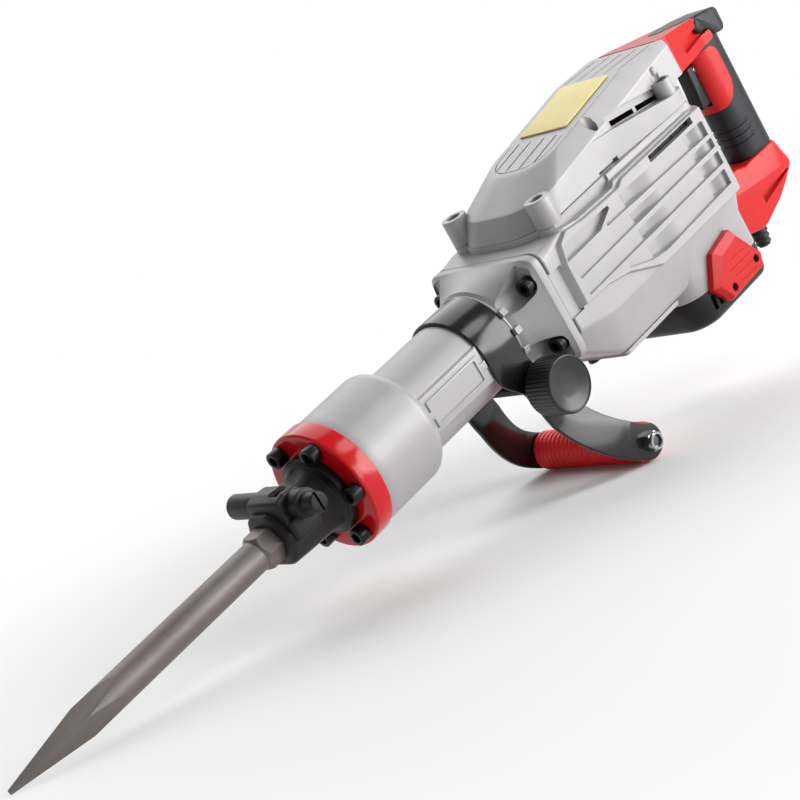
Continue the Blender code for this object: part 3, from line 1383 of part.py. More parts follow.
def brush_covers():
    outline = brush_cover_outline(0)
    inner = MOTOR_BARREL_HALF_WIDTH + GAP
    outer = inner + BRUSH_COVER_THICK
    outside = BRUSH_HALF + BRUSH_HOLDER_WALL
    brush_start = COMMUTATOR_RADIUS + 2 * GAP
    brush_end = brush_start + BRUSH_LENGTH
    tip = brush_start + BRUSH_LENGTH / 2
    for name, side in (("left", -1), ("right", 1)):
        cover = prism(f"brush_cover_{name}", outline, "Y", *across(side, inner, outer), RED_PLASTIC)
        y = across(side, tip, inner + PAST)
        stem = box(
            f"brush_stem_{name}",
            (MOTOR_X - outside, y[0], BRUSH_Z - outside),
            (MOTOR_X + outside, y[1], BRUSH_Z + outside),
            RED_PLASTIC,
        )
        y = across(side, tip - PAST, brush_end + GAP)
        pocket = box(
            f"brush_pocket_{name}",
            (MOTOR_X - BRUSH_HALF - GAP, y[0], BRUSH_Z - BRUSH_HALF - GAP),
            (MOTOR_X + BRUSH_HALF + GAP, y[1], BRUSH_Z + BRUSH_HALF + GAP),
            RED_PLASTIC,
        )
        cut(join(cover, stem), pocket)
        y = across(side, brush_start, brush_end)
        box(
            f"carbon_brush_{name}",
            (MOTOR_X - BRUSH_HALF, y[0], BRUSH_Z - BRUSH_HALF),
            (MOTOR_X + BRUSH_HALF, y[1], BRUSH_Z + BRUSH_HALF),
            CARBON,
        )


# Rear handle


def bar_outline(inset=0.0):
    corner = BAR_CORNER - inset
    return rounded(
        mirrored(
            [
                (BAR_FRONT_X + inset, BAR_HALF_WIDTH - inset, corner),
                (BAR_REAR_X - inset, BAR_HALF_WIDTH - inset, corner),
            ]
        ),
        5,
    )


def handle_top_z(x):
    """Height of the handle's sloping top over a place along the hammer."""
    share = (x - COVER_REAR_X) / (BUMPER_REAR_X - COVER_REAR_X)
    return HANDLE_TOP_Z + (HANDLE_REAR_TOP_Z - HANDLE_TOP_Z) * share


def rear_handle():
    front = COVER_REAR_X + GAP
    wide = BRACKET_HALF_WIDTH + PAST
    step_z = handle_top_z(OVERMOULD_FRONT_X) - OVERMOULD_THICK
    rear_z = handle_top_z(INSET_REAR_X) - OVERMOULD_THICK
    bracket = [
        (front, HANDLE_TOP_Z),
        (OVERMOULD_FRONT_X - GAP, handle_top_z(OVERMOULD_FRONT_X)),
        (OVERMOULD_FRONT_X - GAP, step_z - GAP),
        (INSET_REAR_X, rear_z - GAP),
        (INSET_REAR_X, TRIGGER_PIVOT_Z),
        (BAR_FRONT_X + BAR_CORNER, TRIGGER_PIVOT_Z),
        (OVERMOULD_FRONT_X, BRACKET_FOOT_Z - PAST),
        (front, BRACKET_FOOT_Z),
    ]
    plan = rounded(
        mirrored(
            [
                (front - PAST, BRACKET_HALF_WIDTH, 0),
                (front + BAR_CORNER, BRACKET_HALF_WIDTH, BAR_CORNER / 2),
                (BAR_FRONT_X + BAR_CORNER, BAR_HALF_WIDTH - GAP, BAR_CORNER),
                (INSET_REAR_X + PAST, BAR_HALF_WIDTH - GAP, 0),
            ]
        ),
        3,
    )
    handle = prism("rear_handle", bracket, "Y", -wide, wide, RED_PLASTIC)
    common(handle, prism("bracket_plan", plan, "Z", INSET_BOTTOM_Z, HANDLE_TOP_Z + PAST, RED_PLASTIC))

    inset = prism("grip_inset", bar_outline(), "Z", INSET_BOTTOM_Z, BRACKET_FOOT_Z + PAST, RED_PLASTIC)
    inset_trim = box(
        "inset_trim",
        (BAR_FRONT_X - PAST, -wide, INSET_BOTTOM_Z - PAST),
        (INSET_REAR_X, wide, BRACKET_FOOT_Z + 2 * PAST),
        RED_PLASTIC,
    )
    common(inset, inset_trim)
    core = box(
        "grip_core",
        (CORE_FRONT_X, -CORE_HALF_WIDTH, LOWER_TOP_Z - 3 * CORE_HALF_WIDTH),
        (INSET_REAR_X - PAST, CORE_HALF_WIDTH, INSET_BOTTOM_Z + PAST),
        RED_PLASTIC,
    )
    lower_front = CASE_REAR_X + GAP
    shelf = LOWER_TOP_Z - CORE_HALF_WIDTH
    lower = rounded(
        [
            (lower_front, LOWER_TOP_Z, 0),
            (BAR_FRONT_X - 2 * PAST, LOWER_TOP_Z - PAST, CORE_HALF_WIDTH),
            (BAR_FRONT_X - PAST, shelf, 0),
            (BAR_REAR_X - PAST, shelf - 2 * PAST, CORE_HALF_WIDTH / 2),
            (LOWER_REAR_X, shelf - 2.4 * CORE_HALF_WIDTH, CORE_HALF_WIDTH / 2),
            (LOWER_REAR_X - 2 * PAST, LOWER_BOTTOM_Z + LOWER_RISE, CORE_HALF_WIDTH),
            (GLAND_X + 0.2 * GLAND_RADIUS, LOWER_BOTTOM_Z, CORE_HALF_WIDTH),
            (GLAND_X - 1.5 * GLAND_RADIUS, LOWER_BOTTOM_Z, CORE_HALF_WIDTH),
            (lower_front, MOTOR_BARREL_BOTTOM_Z, 0),
        ],
        3,
    )
    foot = prism("lower_bracket", lower, "Y", -LOWER_HALF_WIDTH, LOWER_HALF_WIDTH, RED_PLASTIC)
    foot_plan = rounded(
        mirrored(
            [
                (lower_front - PAST, LOWER_HALF_WIDTH - PAST, 0),
                (GLAND_X, BAR_HALF_WIDTH + PAST, BAR_CORNER),
                (BAR_REAR_X - BAR_CORNER, BAR_HALF_WIDTH, BAR_CORNER),
                (LOWER_REAR_X + PAST, BAR_HALF_WIDTH * 0.8, BAR_CORNER / 2),
            ]
        ),
        3,
    )
    common(foot, prism("foot_plan", foot_plan, "Z", LOWER_BOTTOM_Z - PAST, LOWER_TOP_Z + PAST, RED_PLASTIC))
    join(handle, inset, core, foot)
    slot_top = TRIGGER_PIVOT_Z + 3 * TRIGGER_PIN_RADIUS
    slot = TRIGGER_HALF_WIDTH + GAP
    cut(
        handle,
        box(
            "trigger_slot",
            (TRIGGER_FRONT_X - PAST, -slot, TRIGGER_BOTTOM_Z - PAST),
            (TRIGGER_SLOT_REAR_X, slot, slot_top),
            RED_PLASTIC,
        ),
        rod(
            "trigger_pin_hole",
            "Y",
            (TRIGGER_PIVOT_X, TRIGGER_PIVOT_Z),
            -wide,
            wide,
            TRIGGER_PIN_RADIUS + GAP,
            RED_PLASTIC,
            16,
        ),
    )
    handle_overmould(step_z, rear_z, shelf)


def handle_overmould(step_z, rear_z, shelf):
    """The soft black skin: a sleeve round the lower bar, a back strip, a bumper and a strip over the top."""
    gap_x = INSET_REAR_X + GAP
    sleeve = prism(
        "handle_overmould",
        bar_outline(),
        "Z",
        shelf + 2 * GAP,
        BRACKET_FOOT_Z + PAST,
        BLACK_RUBBER,
    )
    cut(
        sleeve,
        box(
            "inset_window",
            (BAR_FRONT_X - PAST, -BAR_HALF_WIDTH - PAST, INSET_BOTTOM_Z - GAP),
            (gap_x, BAR_HALF_WIDTH + PAST, BRACKET_FOOT_Z + 2 * PAST),
            BLACK_RUBBER,
        ),
        box(
            "core_window",
            (CORE_FRONT_X - GAP, -CORE_HALF_WIDTH - GAP, shelf - PAST),
            (INSET_REAR_X - PAST + GAP, CORE_HALF_WIDTH + GAP, INSET_BOTTOM_Z + PAST),
            BLACK_RUBBER,
        ),
    )
    crown = rounded(
        [
            (OVERMOULD_FRONT_X, handle_top_z(OVERMOULD_FRONT_X), 0),
            (BUMPER_REAR_X, HANDLE_REAR_TOP_Z, BUMPER_ROUND),
            (BUMPER_REAR_X, BRACKET_FOOT_Z, BUMPER_ROUND),
            (BAR_REAR_X, BRACKET_FOOT_Z - 2 * OVERMOULD_THICK, 0),
            (gap_x, BRACKET_FOOT_Z - 2 * OVERMOULD_THICK, 0),
            (gap_x, rear_z, 0),
            (OVERMOULD_FRONT_X, step_z, 0),
        ],
        3,
    )
    cap_half = BAR_HALF_WIDTH - GAP / 2
    cap = prism("bumper", crown, "Y", -cap_half, cap_half, BLACK_RUBBER)
    cap_plan = rounded(
        mirrored(
            [
                (OVERMOULD_FRONT_X - PAST, cap_half - PAST / 4, 0),
                (BUMPER_REAR_X - PAST / 4, cap_half - PAST / 4, BAR_CORNER),
            ]
        ),
        4,
    )
    common(cap, prism("bumper_plan", cap_plan, "Z", 0, HANDLE_TOP_Z + PAST, BLACK_RUBBER))
    join(sleeve, cap)


def trigger():
    top = TRIGGER_PIVOT_Z + 2 * TRIGGER_PIN_RADIUS
    outline = rounded(
        [
            (TRIGGER_FRONT_X + 2 * PAST, top, PAST),
            (TRIGGER_BACK_X, top, PAST),
            (TRIGGER_BACK_X, TRIGGER_BOTTOM_Z + PAST, PAST),
            (TRIGGER_FRONT_X, TRIGGER_BOTTOM_Z, PAST),
            (TRIGGER_FRONT_X + 2 * PAST, (top + TRIGGER_BOTTOM_Z) / 2, 0),
        ],
        3,
    )
    lever = prism("trigger", outline, "Y", -TRIGGER_HALF_WIDTH, TRIGGER_HALF_WIDTH, BLACK_PLASTIC)
    place = (TRIGGER_PIVOT_X, TRIGGER_PIVOT_Z)
    wide = TRIGGER_HALF_WIDTH + PAST
    cut(lever, rod("trigger_hole", "Y", place, -wide, wide, TRIGGER_PIN_RADIUS + GAP, BLACK_PLASTIC, 16))
    pivot_at((TRIGGER_PIVOT_X, 0, TRIGGER_PIVOT_Z), lever)
    half_pin = TRIGGER_HALF_WIDTH + 3 * TRIGGER_PIN_RADIUS
    rod("trigger_pin", "Y", place, -half_pin, half_pin, TRIGGER_PIN_RADIUS, BRIGHT_STEEL, 16)
    rear = TRIGGER_SLOT_REAR_X - GAP
    box(
        "switch_block",
        (rear - SWITCH_DEPTH, -TRIGGER_HALF_WIDTH, TRIGGER_BOTTOM_Z),
        (rear, TRIGGER_HALF_WIDTH, TRIGGER_PIVOT_Z),
        BLACK_PLASTIC,
    )


def cord_gland():
    top = LOWER_BOTTOM_Z - GAP
    rings = 3
    profile = [(top, CORD_BORE), (top, GLAND_RADIUS)]
    for i in range(rings):
        shrink = 1 - 0.3 * (i + 1) / rings
        z = top - GLAND_LENGTH * (i + 1) / rings
        rib = GLAND_LENGTH / rings
        profile += [
            (z + rib * 0.4, GLAND_RADIUS * shrink),
            (z + rib * 0.3, GLAND_RADIUS * shrink - PAST / 2),
            (z, GLAND_RADIUS * shrink),
        ]
    profile.append((top - GLAND_LENGTH, CORD_BORE))
    turned("cord_gland", profile, "Z", (GLAND_X, 0), BLACK_RUBBER, 12)


# Side handle


def strap_edges(z):
    """Front and rear edge of the strap's side at a height: straight, then a lobe round the pivot."""
    if z < PIVOT_Z:
        half = math.sqrt(max(0.0, EAR_RADIUS**2 - (z - PIVOT_Z) ** 2))
        return PIVOT_X - half, PIVOT_X + half
    share = min(1.0, max(0.0, (z - STRAP_EASE_Z) / (PIVOT_Z - STRAP_EASE_Z)))
    ease = share * share * (3 - 2 * share)
    front = STRAP_FRONT_X + (PIVOT_X - EAR_RADIUS - STRAP_FRONT_X) * ease
    rear = STRAP_REAR_X + (PIVOT_X + EAR_RADIUS - STRAP_REAR_X) * ease
    return front, rear


def handle_strap():
    """A flat band bent over the barrel: the section's corners follow the bend from one ear to the other."""
    end = EAR_RADIUS * 0.97
    heights = [PIVOT_Z - end * math.cos(math.pi / 2 * i / 5) for i in range(5)]
    heights += [PIVOT_Z * (1 - i / 5) for i in range(5)]
    stations = [(z, 1.0, 0.0, z) for z in heights]
    arc_steps = 16
    for i in range(arc_steps + 1):
        angle = math.pi * i / arc_steps
        stations.append((0.0, math.cos(angle), math.sin(angle), 0.0))
    stations += [(z, -1.0, 0.0, z) for z in reversed(heights)]
    rings = []
    for height, across, up, edge_z in stations:
        front, rear = strap_edges(edge_z)
        inner = (across * STRAP_INNER, height + up * STRAP_INNER)
        outer = (across * STRAP_OUTER, height + up * STRAP_OUTER)
        rings.append([(front, *inner), (rear, *inner), (rear, *outer), (front, *outer)])
    strap = loft("handle_strap", rings, BLACK_STEEL)
    wide = STRAP_OUTER + PAST
    place = (PIVOT_X, PIVOT_Z)
    cut(strap, rod("strap_hole", "Y", place, -wide, wide, PIVOT_BOLT_RADIUS + GAP, BLACK_STEEL, 12))
    pivot_at(((STRAP_FRONT_X + STRAP_REAR_X) / 2, 0, 0), strap)
    return strap


def arm_station(share):
    """Centre and sideways direction of the arm, in X and Z, on the arc from the pivot to the grip."""
    start, end = Vector((PIVOT_X, PIVOT_Z)), Vector((GRIP_X, GRIP_Z))
    chord = (end - start).length
    radius = (chord**2 / 4 + ARM_SAG**2) / (2 * ARM_SAG)
    along = (end - start) / chord
    inward = Vector((-along.y, along.x))
    hub = (start + end) / 2 + inward * (radius - ARM_SAG)
    half_turn = math.asin(chord / 2 / radius)
    angle = half_turn * (2 * share - 1)
    spoke = along * math.sin(angle) - inward * math.cos(angle)
    return hub + spoke * radius, -spoke, along * math.cos(angle) + inward * math.sin(angle)


def arm_y(share):
    """Distance of the arm's inner face from the middle: flat under the knob, flared, then square."""
    flare = (share - ARM_FLARE_START) / (ARM_FLARE_END - ARM_FLARE_START)
    return ARM_TOP_Y + (ARM_END_Y - ARM_TOP_Y) * min(1.0, max(0.0, flare))


def side_arm(name, side):
    steps = 10
    sections = []
    for i in range(5):
        back = ARM_HALF_WIDTH * math.cos(math.pi / 2 * i / 5) * 0.985
        sections.append((0.0, -back, ARM_HALF_WIDTH))
    for i in range(steps + 1):
        share = i / steps
        sections.append((share, 0.0, ARM_HALF_WIDTH + (ARM_END_RADIUS - ARM_HALF_WIDTH) * share))
    for i in reversed(range(5)):
        sections.append((1.0, ARM_END_RADIUS * math.cos(math.pi / 2 * i / 5) * 0.985, ARM_END_RADIUS))
    rings = []
    for share, over, radius in sections:
        middle, out, along = arm_station(share)
        middle = middle + along * over
        half = math.sqrt(radius**2 - over**2)
        low, high = middle - out * half, middle + out * half
        inner = side * arm_y(share)
        outer = side * (arm_y(share) + ARM_THICK)
        rings.append(
            [
                (low.x, inner, low.y),
                (high.x, inner, high.y),
                (high.x, outer, high.y),
                (low.x, outer, low.y),
            ]
        )
    arm = loft(name, rings, BLACK_STEEL)
    wide = sorted((0.0, side * (ARM_END_Y + ARM_THICK + PAST)))
    cut(
        arm,
        rod(f"{name}_pivot_hole", "Y", (PIVOT_X, PIVOT_Z), *wide, PIVOT_BOLT_RADIUS + GAP, BLACK_STEEL, 12),
        rod(f"{name}_grip_hole", "Y", (GRIP_X, GRIP_Z), *wide, GRIP_BOLT_RADIUS + GAP, BLACK_STEEL, 12),
    )
    return arm


def side_handle():
    handle_strap()
    pivot = (PIVOT_X, PIVOT_Z)
    grip_place = (GRIP_X, GRIP_Z)
    pieces = [side_arm("side_arm_left", -1), side_arm("side_arm_right", 1)]

    rib = 2 * GRIP_HALF_LENGTH / GRIP_RIBS
    profile = [(-GRIP_HALF_LENGTH, GRIP_BOLT_RADIUS + GAP)]
    for i in range(GRIP_RIBS):
        low = -GRIP_HALF_LENGTH + rib * i
        profile += [(low, GRIP_RADIUS - RIB_DEPTH), (low + rib / 2, GRIP_RADIUS)]
    profile += [
        (GRIP_HALF_LENGTH, GRIP_RADIUS - RIB_DEPTH),
        (GRIP_HALF_LENGTH, GRIP_BOLT_RADIUS + GAP),
    ]
    pieces.append(turned("side_grip", profile, "Y", grip_place, RED_PLASTIC, 14))

    outer = ARM_END_Y + ARM_THICK + GAP
    nut_height = 1.3 * HEX_HEAD_HEIGHT
    bolt_profile = [
        (outer + HEX_HEAD_HEIGHT, 0),
        (outer + HEX_HEAD_HEIGHT, HEX_HEAD_RADIUS * 0.9),
        (outer + HEX_HEAD_HEIGHT * 0.85, HEX_HEAD_RADIUS),
        (outer, HEX_HEAD_RADIUS),
        (outer, GRIP_BOLT_RADIUS),
        (-outer - nut_height, GRIP_BOLT_RADIUS),
        (-outer - nut_height, 0),
    ]
    pieces.append(turned("grip_bolt", bolt_profile, "Y", grip_place, BRIGHT_STEEL, 12))
    nut_bore = (GRIP_BOLT_RADIUS + GAP) / math.cos(math.pi / 6)
    nut_profile = [
        (-outer, nut_bore),
        (-outer, HEX_HEAD_RADIUS),
        (-outer - HEX_HEAD_HEIGHT * 0.9, HEX_HEAD_RADIUS),
        (-outer - HEX_HEAD_HEIGHT, HEX_HEAD_RADIUS * 0.85),
        (-outer - nut_height, HEX_HEAD_RADIUS * 0.8),
        (-outer - nut_height, nut_bore),
    ]
    pieces.append(turned("grip_nut", nut_profile, "Y", grip_place, BRIGHT_STEEL, 6, 0))

    head = ARM_TOP_Y + ARM_THICK + GAP
    tip = KNOB_BACK_Y + KNOB_LENGTH / 2
    pivot_profile = [
        (head + HEX_HEAD_HEIGHT, 0),
        (head + HEX_HEAD_HEIGHT, HEX_HEAD_RADIUS * 0.9),
        (head + HEX_HEAD_HEIGHT * 0.85, HEX_HEAD_RADIUS),
        (head, HEX_HEAD_RADIUS),
        (head, PIVOT_BOLT_RADIUS),
        (-tip, PIVOT_BOLT_RADIUS),
        (-tip, 0),
    ]
    pivot_bolt = turned("pivot_bolt", pivot_profile, "Y", pivot, BLACK_STEEL, 12)
    front = KNOB_BACK_Y + KNOB_LENGTH
    edge = KNOB_RADIUS * 0.07
    knob_profile = [
        (-tip - GAP, 0),
        (-tip - GAP, PIVOT_BOLT_RADIUS + GAP),
        (-KNOB_BACK_Y, PIVOT_BOLT_RADIUS + GAP),
        (-KNOB_BACK_Y, KNOB_RADIUS * 0.92),
        (-KNOB_BACK_Y - 2 * edge, KNOB_RADIUS),
        (-front + 2 * edge, KNOB_RADIUS),
        (-front + edge, KNOB_RADIUS - edge),
        (-front, KNOB_RADIUS * 0.6),
        (-front, 0),
    ]
    knob = turned("clamp_knob", knob_profile, "Y", pivot, BLACK_PLASTIC, 20)
    pivot_at((PIVOT_X, 0, PIVOT_Z), knob, pivot_bolt, *pieces)


# Setting down


def lay_down():
    """Tilts the tool until the bit's tip and the side grip touch the ground, then centres its box."""
    run = GRIP_X - TIP_X
    fall = GRIP_Z + TIP_HALF
    tilt = math.asin(GRIP_RADIUS / math.hypot(run, fall)) + math.atan2(-fall, run)
    TOOL.rotation_euler.y = -tilt
    bpy.context.view_layer.update()
    graph = bpy.context.evaluated_depsgraph_get()
    corners = []
    for obj in bpy.data.objects:
        if obj.type == "MESH" and not obj.hide_render:
            solid = obj.evaluated_get(graph)
            corners += [solid.matrix_world @ Vector(v.co) for v in solid.data.vertices]
    low = Vector([min(c[i] for c in corners) for i in range(3)])
    high = Vector([max(c[i] for c in corners) for i in range(3)])
    TOOL.location = -Vector(((low.x + high.x) / 2, (low.y + high.y) / 2, low.z))


chisel_bit()
tool_retainer()
front_ring()
cylinder_case()
piston_and_rod()
crank_train()
motor()
crank_case()
gear_cover()
tail_cover()
brush_covers()
rear_handle()
trigger()
cord_gland()
side_handle()
lay_down()
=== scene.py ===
"""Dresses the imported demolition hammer: fine surfaces, finishes, floor, light and camera.

Sizes are millimetres in the tool frame of the part's source: X runs along the hammer axis from the bit to
the rear handle, Y across and Z towards the gear cover. The axis meets the front ring's face at the origin.
"""

import json

import bpy
import numpy as np
from mathutils import Matrix


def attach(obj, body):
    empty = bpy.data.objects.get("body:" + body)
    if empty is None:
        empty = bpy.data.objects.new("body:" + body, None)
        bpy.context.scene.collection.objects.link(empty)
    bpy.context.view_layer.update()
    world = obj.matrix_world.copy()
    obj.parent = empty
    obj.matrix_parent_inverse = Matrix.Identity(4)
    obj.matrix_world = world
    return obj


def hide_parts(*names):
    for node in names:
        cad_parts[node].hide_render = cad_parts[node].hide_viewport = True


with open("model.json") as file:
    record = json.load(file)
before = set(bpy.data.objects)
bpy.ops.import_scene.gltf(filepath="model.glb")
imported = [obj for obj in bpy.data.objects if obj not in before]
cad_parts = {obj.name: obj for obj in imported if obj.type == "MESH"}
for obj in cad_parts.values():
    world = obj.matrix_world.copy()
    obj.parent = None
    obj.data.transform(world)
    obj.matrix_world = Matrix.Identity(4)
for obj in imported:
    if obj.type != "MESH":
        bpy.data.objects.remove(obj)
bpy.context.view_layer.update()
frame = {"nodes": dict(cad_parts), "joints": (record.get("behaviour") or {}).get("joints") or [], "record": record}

MM = 0.001
TAU = 2 * np.pi
# Clearance between pieces, the radius that shuts a turned solid on its axis, and where cutters end outside
GAP = 0.3
CORE = 0.2
PAST_Y = 90
SIDES = (("left", -1), ("right", 1))
STRAP_MIDDLE_X = 200.5

joints = {joint["name"]: joint for joint in frame["joints"]}
along_tool = np.array(joints["strap_swivel"]["axis"], float)
up_tool = np.array(joints["crank_spin"]["axis"], float)
TOOL_AXES = np.stack([along_tool, np.cross(up_tool, along_tool), up_tool])
TOOL_ORIGIN = np.array(joints["strap_swivel"]["pos_m"], float) - along_tool * STRAP_MIDDLE_X * MM


def placed(points):
    """Tool points in millimetres, as row-frame points in metres."""
    return TOOL_ORIGIN + np.asarray(points, float) * MM @ TOOL_AXES


# Curves


def unit(vectors):
    """Vectors divided by their lengths."""
    return vectors / np.linalg.norm(vectors, axis=-1, keepdims=True)


def eased(low, high, value):
    """0 up to low, 1 from high, and the curve 3t^2 - 2t^3 between them."""
    t = np.clip((value - low) / (high - low), 0, 1)
    return t * t * (3 - 2 * t)


def turns(count):
    """Angles in equal steps round one turn."""
    return TAU * np.arange(count) / count


def flat_cosine(angle, sides, turn=0.0):
    """Cosine of the angle to the nearest of a polygon's flats; one over it is the polygon's radius."""
    step = TAU / sides
    return np.cos((angle - turn + step / 2) % step - step / 2)


def hex_reach(angle, half):
    """Radius of a hexagon: half its width across flats over the cosine to the nearest flat."""
    return half / flat_cosine(angle, 6, np.pi / 6)


def spun(reach, angle, centre=(0, 0)):
    """The two coordinates across an axis of points at a radius and an angle round a centre."""
    return centre[0] + reach * np.cos(angle), centre[1] + reach * np.sin(angle)


def rounded(corners, steps=6, drawn=0.0):
    """An outline whose corners (x, y, radius) are arcs that touch both sides, run in by a distance."""
    corners = np.array(corners, float)
    place, radius = corners[:, :2], corners[:, 2:]
    ahead = np.roll(place, -1, 0)
    back, on = unit(np.roll(place, 1, 0) - place), unit(ahead - place)
    half = np.arccos(np.clip((back * on).sum(1, keepdims=True), -1 + 1e-9, 1 - 1e-9)) / 2
    area = np.sum(place[:, 0] * ahead[:, 1] - ahead[:, 0] * place[:, 1])
    bulge = np.sign(area * (on[:, :1] * back[:, 1:] - on[:, 1:] * back[:, :1]))
    inward = unit(back + on + 1e-12)
    place = place + inward * bulge * drawn / np.sin(half)
    radius = np.maximum(np.where(radius > 0, radius - bulge * drawn, 0), 0.02)
    centre = place + inward * radius / np.sin(half)
    start = place + back * radius / np.tan(half) - centre
    end = place + on * radius / np.tan(half) - centre
    share = np.linspace(0, 1, steps)[None, :, None]
    sweep = np.maximum(np.pi - 2 * half, 1e-4)[:, :, None]
    arc = np.sin((1 - share) * sweep) * start[:, None] + np.sin(share * sweep) * end[:, None]
    points = centre[:, None] + arc / np.sin(sweep)
    return points[(corners[:, 2:] > 0) | (np.arange(steps) == 0)]


def mirrored(corners, across=1):
    """Corners on the +Y side, followed by their mirror images; across is the place of Y in a corner."""
    flip = np.ones(3)
    flip[across] = -1
    return np.concatenate([corners, np.array(corners, float)[::-1] * flip])


def oblong(low, high, radius=0):
    """The corners of a rectangle between two opposite points."""
    (left, bottom), (right, top) = low, high
    return [(x, y, radius) for x, y in ((left, bottom), (right, bottom), (right, top), (left, top))]


def span(side, inner, outer):
    """Two distances from the middle as rising Y levels on the side that the sign gives."""
    return sorted((side * inner, side * outer))


# Skins: points, quads and end faces


def quads(rows, columns, wrap_rows=False):
    """Corners of the quads of a grid whose columns close on themselves, and its rows too when wrapped."""
    row = np.arange(rows if wrap_rows else rows - 1)[:, None]
    column = np.arange(columns)[None, :]
    here, below = row * columns, (row + 1) % rows * columns
    beside = (column + 1) % columns
    return np.stack([here + column, here + beside, below + beside, below + column], -1).reshape(-1, 4)


def skin(rows, hollow=False):
    """A closed skin over a stack of closed rings: flat faces shut its ends, or the last ring meets the first.

    Where the volume under its triangles comes out negative, all faces are turned round.
    """
    count, around = rows.shape[:2]
    points = rows.reshape(-1, 3)
    faces = quads(count, around, hollow)
    ends = [] if hollow else [np.arange(around)[::-1], (count - 1) * around + np.arange(around)]
    fans = [np.stack([np.full(len(e) - 2, e[0]), e[1:-1], e[2:]], 1) for e in ends]
    corners = np.concatenate([faces[:, [0, 1, 2]], faces[:, [0, 2, 3]]] + fans)
    a, b, c = (points[corners[:, i]] for i in range(3))
    if np.einsum("ij,ij->", a, np.cross(b, c)) < 0:
        faces = faces[:, ::-1]
        ends = [e[::-1] for e in ends]
    return points, faces, ends


ORDER = {"X": (0, 1, 2), "Y": (1, 0, 2), "Z": (2, 0, 1)}


def oriented(axis, along, first, second):
    """Points from a distance along the named axis and two distances across it."""
    shape = np.broadcast_shapes(np.shape(along), np.shape(first), np.shape(second))
    points = np.empty(shape + (3,))
    for place, value in zip(ORDER[axis], (along, first, second)):
        points[..., place] = value
    return points


def raised(outline, height):
    """A plan outline as points at one height, or each at its own."""
    return oriented("Z", height, outline[:, 0], outline[:, 1])


def stepped(axis, rings, arcs=5):
    """A skin over rounded outlines: each has its corners, its level on the axis and how far it is run in."""
    outlines = np.array([rounded(corners, arcs, drawn) for corners, _, drawn in rings])
    levels = np.array([[level] for _, level, _ in rings])
    return skin(oriented(axis, levels, outlines[..., 0], outlines[..., 1]))


def prism(corners, axis, low, high, arcs=4):
    """A rounded outline carried straight through a thickness."""
    return stepped(axis, [(corners, low, 0), (corners, high, 0)], arcs)


def slab(corners, axis, low, high, edge=1.0, steps=4, arcs=6):
    """A rounded outline carried through a thickness and drawn in along a quarter circle at both faces."""
    turn = np.linspace(0, np.pi / 2, steps)
    drawn, depth = edge * (1 - np.sin(turn)), edge * (1 - np.cos(turn))
    levels = np.concatenate([low + depth, high - depth[::-1]])
    drawn = np.concatenate([drawn, drawn[::-1]])
    return stepped(axis, [(corners, *ring) for ring in zip(levels, drawn)], arcs)


def turned(profile, axis, centre=(0, 0), sides=64, hollow=False, flutes=0.0):
    """A profile of (along, radius) carried round an axis; flutes add to the radius by row and angle."""
    profile = np.asarray(profile, float)
    reach = profile[:, 1:2] + np.zeros(sides) + flutes
    return skin(oriented(axis, profile[:, :1], *spun(reach, turns(sides), centre)), hollow)


def solid_turned(corners, axis, centre=(0, 0), sides=64, steps=5):
    """A solid of revolution from profile corners (along, radius, rounding), shut on its axis at both ends."""
    shut = [(corners[0][0], CORE, 0), *corners, (corners[-1][0], CORE, 0)]
    return turned(rounded(shut, steps), axis, centre, sides)


def rod(axis, low, high, radius, centre=(0, 0), sides=64):
    """A plain round rod, or the cutter of a plain bore."""
    return solid_turned([(low, radius, 0), (high, radius, 0)], axis, centre, sides)


def socket_screw(axis, place, seat, way, length, radius, head, height, sides=48):
    """A cap screw: shank, round head with a bevelled rim and a hexagon socket sunk in its top."""
    angle = turns(sides)
    full = np.ones(sides)
    socket = 0.52 * head / flat_cosine(angle, 6)
    bevel = 0.12 * head
    rows = [
        (-length, radius * full),
        (0, radius * full),
        (0, (head - bevel / 2) * full),
        (bevel / 2, head * full),
        (height - bevel, head * full),
        (height - 0.3 * bevel, (head - 0.3 * bevel) * full),
        (height, (head - bevel) * full), (height, 1.06 * socket), (height - 0.06 * head, socket),
        (0.45 * height, socket),
    ]
    levels = np.array([[seat + way * level] for level, _ in rows])
    reach = np.array([ring for _, ring in rows])
    return skin(oriented(axis, levels, *spun(reach, angle, place)))


HEX_CORNER = 9.5
HEX_SIDES = 72
BOLT_HEAD = [(0, 9.2), (0.6, 10.5), (6.0, 10.5), (7.0, 8.6)]


def hex_head(place, seat, way, flats=BOLT_HEAD, rounds=()):
    """A hexagon head across the hammer: rows of (height, cap), first cut by the hexagon, then plain round."""
    angle = turns(HEX_SIDES)
    hexagon = hex_reach(angle, HEX_CORNER * np.cos(np.pi / 6))
    rings = [(level, np.minimum(hexagon, cap)) for level, cap in flats]
    rings += [(level, np.full(HEX_SIDES, cap)) for level, cap in rounds]
    rows = [oriented("Y", seat + way * level, *spun(ring, angle, place)) for level, ring in rings]
    return skin(np.array(rows))


# Meshes


